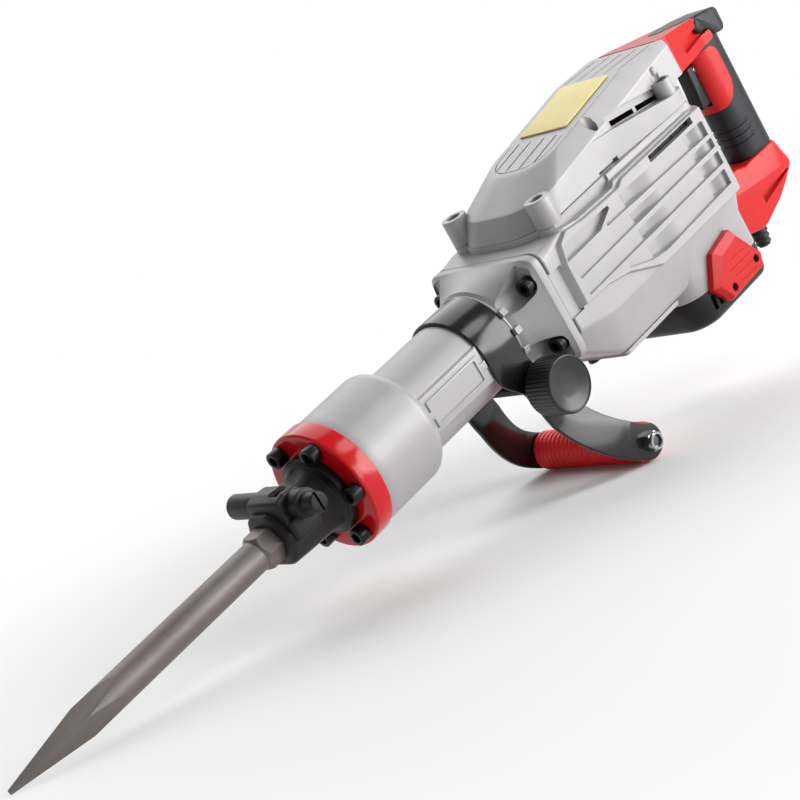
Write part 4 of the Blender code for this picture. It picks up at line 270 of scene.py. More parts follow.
def mesh_of(name, skins):
    """One mesh from several closed skins, in the row frame."""
    points, sizes, corners, base = [], [], [], 0
    for own, faces, ends in skins:
        points.append(own)
        corners.append((faces + base).ravel())
        sizes.append(np.full(len(faces), 4))
        corners += [end + base for end in ends]
        sizes += [np.array([len(end)]) for end in ends]
        base += len(own)
    points, sizes, corners = placed(np.concatenate(points)), np.concatenate(sizes), np.concatenate(corners)
    mesh = bpy.data.meshes.new(name)
    mesh.vertices.add(len(points))
    mesh.vertices.foreach_set("co", points.astype(np.float32).ravel())
    mesh.loops.add(len(corners))
    mesh.loops.foreach_set("vertex_index", corners.astype(np.int32))
    mesh.polygons.add(len(sizes))
    mesh.polygons.foreach_set("loop_start", (np.cumsum(sizes) - sizes).astype(np.int32))
    mesh.update(calc_edges=True)
    mesh.validate()
    return mesh


def linked(name, data):
    """A new object in the scene."""
    obj = bpy.data.objects.new(name, data)
    bpy.context.scene.collection.objects.link(obj)
    return obj


def worked(base, operation, tools):
    """The mesh of a base after a Boolean with each tool in turn; each of them is a skin or a mesh."""
    for tool in tools:
        objects = []
        for form in (base, tool):
            mesh = form if isinstance(form, bpy.types.Mesh) else mesh_of("form", [form])
            objects.append(linked("form", mesh))
        modifier = objects[0].modifiers.new("work", "BOOLEAN")
        modifier.operation = operation
        modifier.solver = "MANIFOLD"
        modifier.object = objects[1]
        graph = bpy.context.evaluated_depsgraph_get()
        base = bpy.data.meshes.new_from_object(objects[0].evaluated_get(graph))
        for obj in objects:
            bpy.data.objects.remove(obj)
    return base


def cut(base, *tools):
    """A base less its tools."""
    return worked(base, "DIFFERENCE", tools)


def join(base, *tools):
    """A base together with its tools."""
    return worked(base, "UNION", tools)


def cross(base, *tools):
    """What a base and its tools share."""
    return worked(base, "INTERSECT", tools)


def piece(name, form, body, finish, *nodes, crease=32):
    """A finished object from skins or a worked mesh: it rides on a body and stands for its CAD nodes."""
    mesh = form if isinstance(form, bpy.types.Mesh) else mesh_of(name, form)
    mesh.name = name
    mesh.materials.clear()
    mesh.materials.append(finish)
    mesh.polygons.foreach_set("use_smooth", np.ones(len(mesh.polygons), bool))
    mesh.set_sharp_from_angle(angle=np.radians(crease))
    obj = linked(name, mesh)
    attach(obj, body)
    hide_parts(*nodes)


# Finishes

TINT_SIZE = 26
GLOSS_SIZE = 9
BUMP_HEIGHT = 0.4
COAT_ROUGHNESS = 0.12
GLOSS_DRIFT = 0.15
# The record's slot of each finish, and the finish of each slot's plain CAD nodes, which is the slot's first
PLAIN_FINISH = {}


def fill_inputs(tree, node, inputs):
    """Sets a shader node's inputs from values, or links them from other nodes' outputs."""
    for key, value in inputs.items():
        if isinstance(value, bpy.types.NodeSocket):
            tree.links.new(value, node.inputs[key])
        else:
            node.inputs[key].default_value = value


def add_node(tree, kind, inputs=None, **settings):
    """A new shader node with its settings and inputs."""
    node = tree.nodes.new("ShaderNode" + kind)
    for key, value in settings.items():
        setattr(node, key, value)
    fill_inputs(tree, node, inputs or {})
    return node


def surface(name, slot, colour, rough, drift, grain, metal=0.0, coat=0.0, shine=0.5, streak=None):
    """A finish on object coordinates: slow noise drifts its colour and gloss, fine noise lifts its grain.

    Drift is the share that the colour varies by, grain the strength and size in millimetres of the bump, and
    streak stretches the noise along the tool's axes.
    """
    material = bpy.data.materials.new(name)
    PLAIN_FINISH.setdefault(slot, material)
    material.use_nodes = True
    tree = material.node_tree
    source = add_node(tree, "TexCoord").outputs["Object"]
    if streak is not None:
        turn = Matrix(TOOL_AXES.tolist()).to_euler()
        stretch = {"Vector": source, "Rotation": turn, "Scale": streak}
        source = add_node(tree, "Mapping", stretch).outputs["Vector"]

    def noise(size, detail):
        """Noise whose features are about a size in millimetres."""
        inputs = {"Vector": source, "Scale": 1 / (size * MM), "Detail": detail}
        return add_node(tree, "TexNoise", inputs).outputs["Fac"]

    tint = add_node(tree, "ValToRGB", {"Fac": noise(TINT_SIZE, 4)})
    for element, place, share in zip(tint.color_ramp.elements, (0.3, 0.7), (1 - drift, 1 + drift)):
        element.position = place
        element.color = (*[min(1.0, c * share) for c in colour], 1)
    gloss = {"To Min": rough * (1 - GLOSS_DRIFT), "To Max": rough * (1 + GLOSS_DRIFT)}
    gloss["Value"] = noise(GLOSS_SIZE, 3)
    strength, size = grain
    bump = {"Strength": strength, "Distance": BUMP_HEIGHT * MM, "Height": noise(size, 2)}
    fill_inputs(
        tree,
        tree.nodes["Principled BSDF"],
        {
            "Metallic": metal,
            "Coat Weight": coat,
            "Coat Roughness": COAT_ROUGHNESS,
            "Specular IOR Level": shine,
            "Base Color": tint.outputs["Color"],
            "Roughness": add_node(tree, "MapRange", gloss).outputs["Result"],
            "Normal": add_node(tree, "Bump", bump).outputs["Normal"],
        },
    )
    return material


CAST_PAINT = surface(
    "cast_grey_paint", "grey_paint", (0.343, 0.334, 0.339), 0.42, 0.03, (0.12, 1.1), 0.1, 0.05
)
RING_PAINT = surface("ring_red_paint", "red_paint", (0.50, 0.005, 0.009), 0.16, 0.05, (0.20, 5.0), shine=0.35)
RED_MOULDING = surface(
    "red_moulding", "red_plastic", (0.48, 0.009, 0.009), 0.32, 0.03, (0.10, 0.7), shine=0.25
)
RED_RUBBER = surface("red_grip_rubber", "red_plastic", (0.80, 0.012, 0.016), 0.44, 0.05, (0.12, 0.9))
BLACK_OXIDE = surface("black_oxide_steel", "black_steel", (0.010, 0.010, 0.011), 0.30, 0.2, (0.10, 0.8), 0.5)
BLACK_GLOSS = surface("black_gloss_paint", "black_steel", (0.006, 0.006, 0.006), 0.18, 0.10, (0.05, 3.0))
BLACK_FORGED = surface(
    "black_forged_steel", "black_steel", (0.009, 0.008, 0.008), 0.44, 0.25, (0.5, 1.4), shine=0.3
)
BLACK_MOULDING = surface(
    "black_moulding", "black_plastic", (0.009, 0.009, 0.010), 0.42, 0.12, (0.15, 0.6), shine=0.28
)
BLACK_KNOB = surface("black_knob_moulding", "black_plastic", (0.010, 0.010, 0.012), 0.30, 0.10, (0.10, 0.7))
BLACK_RUBBER = surface(
    "black_overmould", "black_rubber", (0.009, 0.010, 0.012), 0.40, 0.10, (0.18, 0.5), shine=0.28
)
BIT_STEEL = surface(
    "bit_steel", "forged_steel", (0.16, 0.139, 0.129), 0.48, 0.16, (0.35, 0.9), 0.6, streak=(0.25, 1, 1)
)
BRIGHT_STEEL = surface("bright_steel", "bright_steel", (0.50, 0.50, 0.51), 0.26, 0.05, (0.05, 1.0), 1.0)
# Painted shade: a dark steel for the grip's through bolt, whose slot is bright steel, so that its recessed end
# reads as in shade
BOLT_STEEL_PAINTED_SHADE = surface("bolt_steel_painted_shade", "bright_steel", (0.10, 0.10, 0.105), 0.42, 0.08, (0.10, 0.9), 0.9)
PLATE_YELLOW = surface(
    "plain_yellow_plate", "plate_yellow", (0.80, 0.68, 0.29), 0.45, 0.05, (0.04, 1.5), shine=0.25
)
# Finishes of plain CAD nodes only
surface("wound_copper", "copper", (0.42, 0.20, 0.11), 0.4, 0.2, (0.3, 1.0), 0.9)
surface("carbon_block", "carbon", (0.03, 0.03, 0.03), 0.55, 0.1, (0.3, 0.8))


# Bit and nose

TIP_X = -361
POINT_LENGTH = 113
TIP_HALF = 1.5
POINT_TURN = np.radians(22)
SHAFT = 13.7
HEX_HALF = 15
HEX_FRONT_X = -82
SHANK_END_X = 44


def chisel_bit():
    """Radius round the axis: the lesser of shaft and four closing flats, then a cone to a hexagon."""
    point_end = TIP_X + POINT_LENGTH
    x = np.concatenate(
        [
            np.linspace(TIP_X, point_end + 4, 70),
            np.linspace(point_end + 8, HEX_FRONT_X - 9, 20),
            np.linspace(HEX_FRONT_X - 8, HEX_FRONT_X + 8, 26),
            [HEX_FRONT_X + 12, SHANK_END_X - 2, SHANK_END_X],
        ]
    )[:, None]
    angle = turns(144)
    half = TIP_HALF + (SHAFT - TIP_HALF) * (x - TIP_X) / POINT_LENGTH
    flats = half / flat_cosine(angle, 4, -POINT_TURN - np.pi / 4)
    shaft = np.minimum(SHAFT, np.where(x > point_end, SHAFT, flats))
    hexagon = hex_reach(angle, HEX_HALF)
    collar = np.minimum(hexagon, SHAFT - 0.6 + 0.9 * (x - HEX_FRONT_X + 4))
    end = np.minimum(hexagon, SHAFT + (SHANK_END_X - x) * 0.8)
    reach = np.where(x < HEX_FRONT_X - 6, shaft, np.maximum(shaft, np.minimum(collar, end)))
    rows = oriented("X", x, *spun(reach, angle))
    piece("bit", [skin(rows)], "bit", BIT_STEEL, "chisel_bit", crease=24)


NOSE_FRONT_X = -67
NOSE_RADIUS = 26.5
NOSE_BASE = 29
NOSE_FLANGE = 37.3
NOSE_SPIGOT = 35.9
LEVER = (-43, 20)
LEVER_RADIUS = 10.5
LEVER_FAR_Y = 58.5
BLOCK_NEAR_Y = -28
BLOCK_FAR_Y = 15


def tool_retainer():
    """A nose whose hexagon facets fade to a round foot, on a flange, with the block of the lever."""
    x = NOSE_FRONT_X + np.array([0, 0.8, 3, 7, 37, 45, 53, 56.5, 58.4])[:, None]
    taper = np.array([0.86, 0.94, 0.985, 1, 1, 1, 1.03, 1.08, 1.2])[:, None]
    angle = turns(96)
    base = NOSE_RADIUS + (NOSE_BASE - NOSE_RADIUS) * eased(-60, -15, x)
    faceted = np.minimum(base, hex_reach(angle, 0.93 * base))
    reach = np.where(x < -25, faceted, base + (faceted - base) * eased(-12, -25, x)) * taper
    nose = skin(oriented("X", x, *spun(reach, angle)))
    rim = [(-8.3, NOSE_FLANGE, 2), (-GAP, NOSE_FLANGE, 0.3), (-GAP, NOSE_SPIGOT, 0), (46, NOSE_SPIGOT, 1)]
    block = [(-61, -4, 3), (-61, 32, 4), (-50, 35, 3), (-33, 33, 6), (-30, -4, 3)]
    ear = [(-61, -6, 4), (-61, 14, 6), (-40, 17, 8), (-29, 8, 4), (-29, -6, 4)]
    mesh = slab(block, "Y", BLOCK_NEAR_Y, BLOCK_FAR_Y, 2.2)
    saddle = solid_turned([(-24, 13.5, 1), (-9, 13.5, 3)], "Y", (LEVER[0] + 3, LEVER[1] + 17), 40)
    mesh = cut(mesh, saddle)
    mesh = join(mesh, nose, solid_turned(rim, "X"), slab(ear, "Y", -31, 27, 3))
    angle = turns(HEX_SIDES)
    shank = oriented("X", np.array([[-75.0], [50.0]]), *spun(hex_reach(angle, HEX_HALF + GAP), angle))
    lever_bore = rod("Y", -23.3, 40, LEVER_RADIUS + 0.4, LEVER)
    plug_bore = rod("Y", -35, -20, 6.3, LEVER)
    mesh = cut(mesh, skin(shank), lever_bore, plug_bore)
    piece("retainer", mesh, "housing", BLACK_FORGED, "tool_retainer")


def retainer_lever():
    """The cross lever with a neck before its knob, and the slotted plug on its near end."""
    knob = [
        (-23, LEVER_RADIUS, 0.5), (15.5, LEVER_RADIUS, 0.2), (17.4, LEVER_RADIUS - 2, 0.5),
        (19.3, LEVER_RADIUS + 0.4, 0.5), (LEVER_FAR_Y, LEVER_RADIUS + 0.4, 2.0),
    ]
    piece("lever", [solid_turned(knob, "Y", LEVER)], "lever", BLACK_FORGED, "retainer_lever")
    plug = [(-57.7, 9, 2.2), (-42.3, 9, 0.4), (-42, 12.5, 1.2), (-28.3, 12.5, 1.0)]
    plug += [(-28.3, 6, 0), (-23.5, 6, 0)]
    slot = prism(oblong((LEVER[0] - 1.2, 5), (LEVER[0] + 1.2, 35)), "Y", -60, -55)
    mesh = cut(solid_turned(plug, "Y", LEVER), slot)
    piece("plug", mesh, "housing", BLACK_FORGED, "retainer_plug")


RING_RADIUS = 57
RING_INNER = 36.4
RING_THICK = 20
RING_BOLT_CIRCLE = 46.3
CAP_SCREW = {"length": 30, "head": 8, "height": 11}


def front_ring():
    """A rounded square section carried round the hammer axis, with six cap screws through it."""
    section = [(0, RING_INNER, 0.6), (0, RING_RADIUS, 2.4)]
    section += [(RING_THICK, RING_RADIUS, 1.2), (RING_THICK, RING_INNER, 0.3)]
    ring = turned(rounded(section, 6), "X", sides=128, hollow=True)
    piece("front_ring_paint", [ring], "housing", RING_PAINT, "front_ring")
    for i, angle in enumerate(turns(6)):
        screw = socket_screw("X", spun(RING_BOLT_CIRCLE, angle), -GAP, -1, radius=5, **CAP_SCREW)
        piece(f"ring_screw_{i + 1}", [screw], "housing", BLACK_OXIDE, f"ring_bolt_{i + 1}")


# Barrel

CASE_RADIUS = 55
BARREL = 42.9
BORE = 36.3
COLLAR_X = 221.3
COLLAR = 47.5
FLANGE_FRONT_X = 257
FLANGE_X = 268
FLANGE_HALF_WIDTH = 69
FLANGE_HALF_HEIGHT = 53
FLANGE_POWER = 11
FLANGE_BOLTS = [(y, z) for y in (-55, 55) for z in (-30, 30)]
TOOTH_STEP = 24
PAD_Y = 43.4


def barrel_shell():
    """Sections along the axis go from circles to the flange's oval |y/a|^n + |z/b|^n = 1."""
    turn = np.linspace(0, np.pi / 2, 14)
    flare = np.linspace(0, 1, 16)[1:]
    neck_x = COLLAR_X + 3
    x = np.concatenate(
        [
            [20.3, 20.8, 22],
            np.linspace(30, 84, 8),
            86 + 13 * np.sin(turn),
            [100.5, 103],
            np.linspace(110, COLLAR_X - 0.2, 8),
            COLLAR_X + np.array([0, 0.6, 2.4, 3]),
            neck_x + (FLANGE_FRONT_X - neck_x) * flare,
            FLANGE_FRONT_X + np.array([1.2, 3]),
            FLANGE_X - np.array([2.2, 1.8, 1.8, 0]),
        ]
    )
    reach = np.concatenate(
        [
            [53.4, 54.6, CASE_RADIUS],
            np.full(8, CASE_RADIUS),
            BARREL + 0.6 + (CASE_RADIUS - BARREL - 0.6) * np.cos(turn),
            [BARREL + 0.1, BARREL],
            np.full(8, BARREL),
            COLLAR - np.array([2.8, 2.2, 2.2, 1.8]),
            np.full(21, COLLAR),
        ]
    )
    spread = np.concatenate([np.zeros(39), 0.93 * flare**1.15, [0.98, 1, 1, 0.99, 0.8, 0.8]])[:, None]
    angle = turns(240)
    wide, high = np.abs(np.cos(angle)) / FLANGE_HALF_WIDTH, np.abs(np.sin(angle)) / FLANGE_HALF_HEIGHT
    oval = (wide**FLANGE_POWER + high**FLANGE_POWER) ** (-1 / FLANGE_POWER)
    radius = reach[:, None] * (1 - spread) + oval * spread
    return skin(oriented("X", x[:, None], *spun(radius, angle)))


def bolt_pocket(y, z):
    """A pocket before a flange bolt, from a wide mouth to a smaller seat, and a round well for the head."""
    inner, outer = -np.sign(y), np.sign(z)
    mouth = rounded([(6, 25, 0.4), (-10, 19, 6), (-11, -9, 7), (3, -15, 8), (17, -12, 7), (19, 2, 8)], 5)
    seat = rounded([(5, 20, 0.4), (-9, 15, 5), (-9.5, -7, 6), (2, -11, 6), (12, -9, 5), (13.5, 2, 6)], 5)
    rows = []
    for x, share in ((224, 1.0), (FLANGE_FRONT_X - 0.8, 0.0), (FLANGE_FRONT_X, -0.06)):
        ring = seat + (mouth - seat) * share
        rows.append(oriented("X", x, y + inner * ring[:, 0], z + outer * ring[:, 1]))
    well = solid_turned([(230, 10.5, 0), (FLANGE_FRONT_X, 10, 1)], "X", (y, z), 40)
    return [skin(np.array(rows)), well]


def collar_tooth(turn):
    """A block on the collar, square to the barrel's radius at an angle and slightly narrower at its top."""
    x = COLLAR_X + np.array([0.2, 7, 7, 0.2])
    level = np.array([42, COLLAR + 1.4, COLLAR + 1.9])[:, None]
    side = np.array([-3.4, -3.4, 3.4, 3.4]) * np.array([1, 1, 0.86])[:, None]
    y = -level * np.cos(turn) + side * np.sin(turn)
    z = level * np.sin(turn) + side * np.cos(turn)
    return skin(oriented("X", x, y, z))


def side_plate(mesh, side):
    """A raised pad on the barrel's side, with a bare field inside a notched frame."""
    pad = oblong((97, -18), (179.5, 18))
    notched = [(103, -12.5), (172, -12.5), (172, -4), (179, -4), (179, 3.5), (172, 3.5), (172, 12.5)]
    notched += [(103, 12.5), (103, 3.5), (97.5, 3.5), (97.5, -4), (103, -4)]
    border = [(x, z, 0) for x, z in notched]
    field = oblong((106, -9.7), (169, 9.7), 1)
    mesh = join(mesh, slab(pad, "Y", *span(side, 34, PAD_Y), 2.4))
    mesh = join(mesh, slab(border, "Y", *span(side, 40, PAD_Y + 1.5), 0.7))
    return cut(mesh, prism(field, "Y", *span(side, PAD_Y + 0.2, PAST_Y)))


def cylinder_case():
    """The barrel's shell with its bore, pockets, collar teeth and side plates, and the flange screws."""
    pockets = [cutter for place in FLANGE_BOLTS for cutter in bolt_pocket(*place)]
    mesh = barrel_shell()
    mesh = cut(mesh, *pockets, rod("X", 10, 280, BORE, sides=96))
    teeth = np.radians([start + TOOTH_STEP * i for start in (-44, 136) for i in range(4)])
    mesh = join(mesh, *(collar_tooth(turn) for turn in teeth))
    for _, side in SIDES:
        mesh = side_plate(mesh, side)
    piece("barrel", mesh, "housing", CAST_PAINT, "cylinder_case", crease=28)
    for i, place in enumerate(FLANGE_BOLTS):
        screw = socket_screw("X", place, FLANGE_FRONT_X - GAP, -1, radius=4, **CAP_SCREW)
        piece(f"flange_screw_{i + 1}", [screw], "housing", BLACK_OXIDE, f"flange_bolt_{i + 1}")


# Crank case

DECK_Z = 58
LEDGE_Z = 52
CASE_HALF = 70
CASE_FLOOR_Z = -86
FLANGE_FLOOR_Z = -52
PANEL_Y = 74.5
BORDER_Y = 66.8
CASE_REAR_X = 530
MOTOR_X = 480
MOTOR_FRONT_X = 413
MOTOR_HALF = 60
SHAFT_SEATS = [(365.25, 24.3), (423.75, 7.5), (MOTOR_X, 16.3)]
VENT_STUDS = (444, 460, 480, 496)
# Each boss of the gear cover: its place, radius and top
BOSSES = [(309, y, 12.5, 84) for y in (-55.5, 55.5)] + [(512, y, 10, 88) for y in (-56, 56)]
# A panel's corners with their rounding, and how far its foot steps out from each
PANEL = [
    (286, -14, 1, -4.5, -2), (287, 24, 1, -5, 1.5), (292, 44, 2, -4, 2), (304, 50, 3, -1, 1),
    (330, 46.5, 6, 0, 1), (384, 45, 6, 0, 1), (393, 49.5, 3, 0, 1), (523, 49.5, 2, 4, 1),
    (523, -40, 3, 4, -3), (391, -39.5, 8, 0, -3), (349, -21, 8, 0, -3), (320, -15, 8, 0, -3),
]
# Each recess: its lower and upper edge as heights over places along the hammer, and its two ends
RECESSES = [
    (([350, 518], [26, 22.5]), ([350, 378, 518], [28.5, 40.5, 37]), 350.5, 517),
    (([294, 518], [7.2, 9]), ([294, 518], [20, 18.3]), 294, 518),
    (([294, 518], [-9.8, -8.8]), ([294, 518], [2.2, 3.8]), 294, 518),
    (([350, 378, 402, 518], [-17.8, -28, -31.5, -29]), ([350, 518], [-15, -13.8]), 351, 515),
]
# Each dip of a recess's floor: its depth, the stretch of its lip and the stretch of its climb
DIPS = [(6.0, (384, 391), (400, 432)), (5.0, (489, 495), (498, 511))]
FRONT_RECESS = [(289, 27, 1), (296, 42.5, 2), (369, 40.5, 2), (341, 27.5, 5)]
SIDE_CHANNEL = [(303, 60, 0), (303, 53, 1), (326, 49, 3), (381, 47.6, 3), (390, 53.5, 1), (390, 60, 0)]


def case_body():
    """Sections across the hammer: ledge, side, round belly and floor; the floor rises to the front flange."""
    front, rear = [268.3, 269.2], [518, 523, 527, 529.4, 530]
    x = np.concatenate([front, np.linspace(272, 313, 12), np.linspace(320, 512, 14), rear])
    levels = (CASE_FLOOR_Z, FLANGE_FLOOR_Z)
    floor = np.interp(x, [268, 313, 322, 530], [FLANGE_FLOOR_Z, -83, CASE_FLOOR_Z, CASE_FLOOR_Z])
    belly = np.interp(floor, levels, (-40, -30))
    foot_arc = np.interp(floor, levels, (10, 6))
    inset = np.interp(x, [268.3, 269.2, 514, 520, 525, 528.5, 530], [0.8, 0, 0, 1.2, 4, 8, 13])
    ledge_arc = 3 + 9.5 * (1 - eased(269, 300, x))
    rings = []
    for low, middle, arc, narrow, ledge in zip(floor, belly, foot_arc, inset, ledge_arc):
        half = [
            (CASE_HALF - narrow, LEDGE_Z - min(narrow, 0.8), ledge),
            (CASE_HALF - narrow, middle, 9), (52 - narrow, low, arc),
        ]
        rings.append(rounded(mirrored(half, 0), 9))
    rings = np.array(rings)
    return skin(oriented("X", x[:, None], rings[..., 0], rings[..., 1]))


def wavy_cutter(side, lower, upper, front, rear):
    """A long recess: its floor lies shallow, drops at two sharp lips and climbs back along an eased curve."""
    x = np.linspace(front, rear, 160)
    depth = 3.2 + eased(300, 380, x)
    for drop, lip, climb in DIPS:
        depth += drop * eased(*lip, x) * (1 - eased(*climb, x))
    low, high = np.interp(x, *lower), np.interp(x, *upper)
    floor, mouth = PANEL_Y - depth, np.full_like(x, PANEL_Y + 6)
    draft, fillet = 0.5, 0.8
    y = side * np.stack([mouth, floor + fillet, floor, floor, floor + fillet, mouth], 1)
    z = np.stack([low - draft, low, low + fillet, high - fillet, high, high + draft], 1)
    return skin(oriented("X", x[:, None], y, z))


def side_panel(side):
    """A panel on one side of the case: its foot slopes up to a face with a small rounded edge."""
    face = [(x, z, arc) for x, z, arc, _, _ in PANEL]
    foot = [(x + out, z + up, arc) for x, z, arc, out, up in PANEL]
    rings = [(foot, 60, 0), (foot, BORDER_Y, 0), (face, PANEL_Y - 0.4, 0), (face, PANEL_Y, 0.5)]
    return stepped("Y", [(corners, side * y, drawn) for corners, y, drawn in rings])


def side_cuts(side):
    """The cuts in one side: channel, front recess, vent, the wavy recesses and the brush cover's seat."""
    vent = oblong((434, 41.4), (506, 48.2), 0.4)
    cuts = [prism(SIDE_CHANNEL, "Y", *span(side, 59.6, PAST_Y))]
    cuts.append(prism(FRONT_RECESS, "Y", *span(side, BORDER_Y + 0.6, PAST_Y)))
    cuts.append(prism(vent, "Y", *span(side, 54, PAST_Y), 3))
    cuts += [wavy_cutter(side, *recess) for recess in RECESSES]
    cuts.append(prism(brush_outline(0.5), "Y", *span(side, 60.2, PAST_Y)))
    return cuts


def case_hollows():
    """The case's inside: gear chamber, sump, motor bore, cylinder bore and the seats of the three shafts."""
    hollows = [prism(oblong((300, -36), (522, 40), 4), "Y", -61, 61)]
    hollows.append(prism(mirrored([(330, 40, 3), (400, 40, 3)]), "Z", -90, -30))
    hollows.append(rod("Z", -105, -16, 45.3, (MOTOR_X, 0)))
    hollows.append(rod("X", 262, 304, BORE, sides=96))
    return hollows + [rod("Z", 38, 64, radius, (x, 0), 48) for x, radius in SHAFT_SEATS]


def crank_case():
    """The case's body joined with its plinth, boss feet, motor barrel and panels, then cut and hollowed."""
    plinth = []
    for z, grow in ((40, 2.2), (DECK_Z - 0.5, 0.3), (DECK_Z, -0.2)):
        plinth.append((mirrored([(288 - grow, 58.5 + grow, 41 + grow), (528, 65.5 + grow, 10)]), z, 0))
    adds = [stepped("Z", plinth, 24)]
    for x, y, radius, _ in BOSSES:
        profile = [(40, radius + 1.6, 0), (51, radius + 1.6, 1), (53.5, radius, 2), (DECK_Z, radius, 0.3)]
        adds.append(solid_turned(profile, "Z", (x, y), 40))
    barrel = mirrored([(MOTOR_FRONT_X, MOTOR_HALF, 28), (CASE_REAR_X - GAP, MOTOR_HALF, 14)])
    adds.append(slab(barrel, "Z", -98, 0, 1.0, arcs=12))
    mesh = join(case_body(), *adds)
    cuts = []
    for _, side in SIDES:
        strip = [(266, -17, 0), (266, 29, 0), (284, 29, 0), (284, -17, 0)]
        mesh = cut(mesh, prism(strip, "Y", *span(side, BORDER_Y, PAST_Y)))
        mesh = join(mesh, side_panel(side))
        cuts += side_cuts(side)
    mesh = cut(mesh, *cuts, *case_hollows())
    piece("crank_case_casting", mesh, "housing", CAST_PAINT, "crank_case", crease=30)


def vent_shade_fillers():
    """A black bar behind each long vent, which paints the vent's inside dark as shade, with a row of round studs.
    """
    for name, side in SIDES:
        # Painted shade: the black bar stands in for the shaded inside of the vent
        guard = slab(oblong((433, 40.6), (507, 49), 1), "Y", *span(side, 54.2, 68), GAP)
        stud = [(side * 66, 1.9, 0), (side * 69, 1.9, 0.6)]
        studs = [solid_turned(stud, "Y", (x, 44.8), 24) for x in VENT_STUDS]
        piece(f"vent_shade_filler_{name}", [guard] + studs, "housing", BLACK_MOULDING)


# Gear cover

COVER_FOOT_Z = DECK_Z + GAP
COVER_TOP_X = 341
COVER_TOP_Z = 97.5
CREST_X = 484
CREST_Z = 116
COVER_REAR_X = 550
COVER_WALL = 4
HOLLOW_REAR_X = 526
COVER_SLOPE = (CREST_Z - COVER_TOP_Z) / (CREST_X - COVER_TOP_X)
CREST_FALL = 0.0528
COVER_TOP = (COVER_TOP_X, 42, 34, COVER_REAR_X, 42)
RIM_X = [301, 325, 408, 425, 440, 458, 482, 506, COVER_REAR_X]
RIM_Z = [77.5, 80, 89, 94, 98, 102, 105.5, 107, 106.5]
SHOULDER_SLOTS = [
    [(437, 88.5), (437, 83.2), (471, 77.9), (471, 83)],
    [(475, 82.5), (475, 77.4), (507, 72.6), (507, 77.5)],
]
# Each groove of the top: its two ends and its place across
GROOVES = [(349, 395, -9), (349, 395, 9), (353, 395, -25), (353, 395, 25)]
GROOVES += [(489, 543, y) for y in (-36, -18, 0, 18, 36)]


def cover_outline(front, half, corner, rear, rear_half, drawn=0.0):
    """Wide round corners in front, a slight taper and nearly square corners at the rear."""
    return rounded(mirrored([(front, half, corner), (rear, rear_half, 3)]), 24, drawn)


def cover_slope(x):
    """Height of the straight slope that rises along the cover's top."""
    return COVER_TOP_Z + COVER_SLOPE * (x - COVER_TOP_X)


def cover_top(x):
    """Height of the cover's top: the slope up to the crest and a slight fall behind it."""
    return np.minimum(cover_slope(x), CREST_Z - CREST_FALL * (x - CREST_X))


def cover_shell():
    """A skin over four outlines: an upright foot, a rim that rises to the rear, sloping top and crown.

    The stations between two outlines are their weighted means, set close where an edge is rounded.
    """
    foot = raised(cover_outline(288, 58.5, 41, COVER_REAR_X, 52), COVER_FOOT_Z)
    rim = cover_outline(301, 57, 39.5, COVER_REAR_X, 51)
    rim = raised(rim, np.interp(rim[:, 0], RIM_X, RIM_Z))
    plans = [cover_outline(*COVER_TOP, drawn) for drawn in (0, 1.2)]
    top, crown = (raised(plan, cover_slope(plan[:, 0])) for plan in plans)
    stations = [foot + (rim - foot) * share for share in (0, 0.5, 0.86, 0.94, 0.98)]
    stations += [rim + (foot + top - 2 * rim) * 0.01]
    stations += [rim + (top - rim) * share for share in (0.02, 0.06, 0.14, 0.5, 0.85, 0.95)]
    stations += [top * 0.65 + crown * 0.35 - [0, 0, 0.15], crown]
    side = [(280, 50, 0), (280, 130, 0), (CREST_X, CREST_Z - 0.3, 14), (556, 112.2, 0), (556, 50, 0)]
    form = skin(np.array(stations))
    return cross(form, prism(side, "Y", -80, 80, 8))


def cover_band():
    """The band round the cover's rear shoulders: its plan crossed with its side outline."""
    plan = mirrored([(392, 54.5, 0), (436, 59, 60), (500, 66, 40), (528.5, 66, 12)])
    side = [
        (392, COVER_FOOT_Z, 0), (392, 88, 0), (437, 83, 3), (506, 72, 3), (540, 72, 0),
        (540, COVER_FOOT_Z, 0),
    ]
    return cross(prism(plan, "Z", 55, 95), prism(side, "Y", -70, 70))


def cover_hollow():
    """The cover's inside: outlines drawn in by the wall, under a ceiling that follows the top."""
    rows = []
    for z, front, half in ((50, 288, 58.5), (74, 298, 57)):
        rows.append(raised(cover_outline(front, half, 40, HOLLOW_REAR_X, 51.5, COVER_WALL), z))
    ceiling = cover_outline(COVER_TOP_X, 42, 34, HOLLOW_REAR_X, 42, COVER_WALL)
    rows.append(raised(ceiling, cover_top(ceiling[:, 0]) - 5))
    return skin(np.array(rows))


def shoulder_cuts(way):
    """One shoulder's trough, the two slots through its floor, and a thin line with a wider end before it."""
    trough = [(426, 97, 4), (460, 93.5, 12), (499, 86, 4), (512, 79, 2), (512, 71, 1), (430, 83.5, 2)]
    cuts = [prism(trough, "Y", *span(way, 48.5, PAST_Y))]
    for slot in SHOULDER_SLOTS:
        cuts.append(prism([(x, z, 0.6) for x, z in slot], "Y", *span(way, 34, PAST_Y)))
    thin = [(389, 58.8), (411, 58.8), (411, 57.5), (418, 57.5)]
    thin += [(418, 62.3), (411, 62.3), (411, 61), (389, 61)]
    cuts.append(prism([(x, z, 0) for x, z in thin], "Y", *span(way, 51, PAST_Y), 2))
    return cuts


def rim_line():
    """The cutter of a fine line round the front of the cover's top, at an even distance from its edge."""
    plans = np.array([cover_outline(*COVER_TOP, drawn) for drawn in (6.6, 6.6, 7.8, 7.8)])
    level = cover_top(plans[..., 0]) + np.array([-1, 5, 5, -1])[:, None]
    ring = skin(oriented("Z", level, plans[..., 0], plans[..., 1]), True)
    return cross(ring, prism(oblong((330, -60), (392, 60)), "Z", 80, 130))


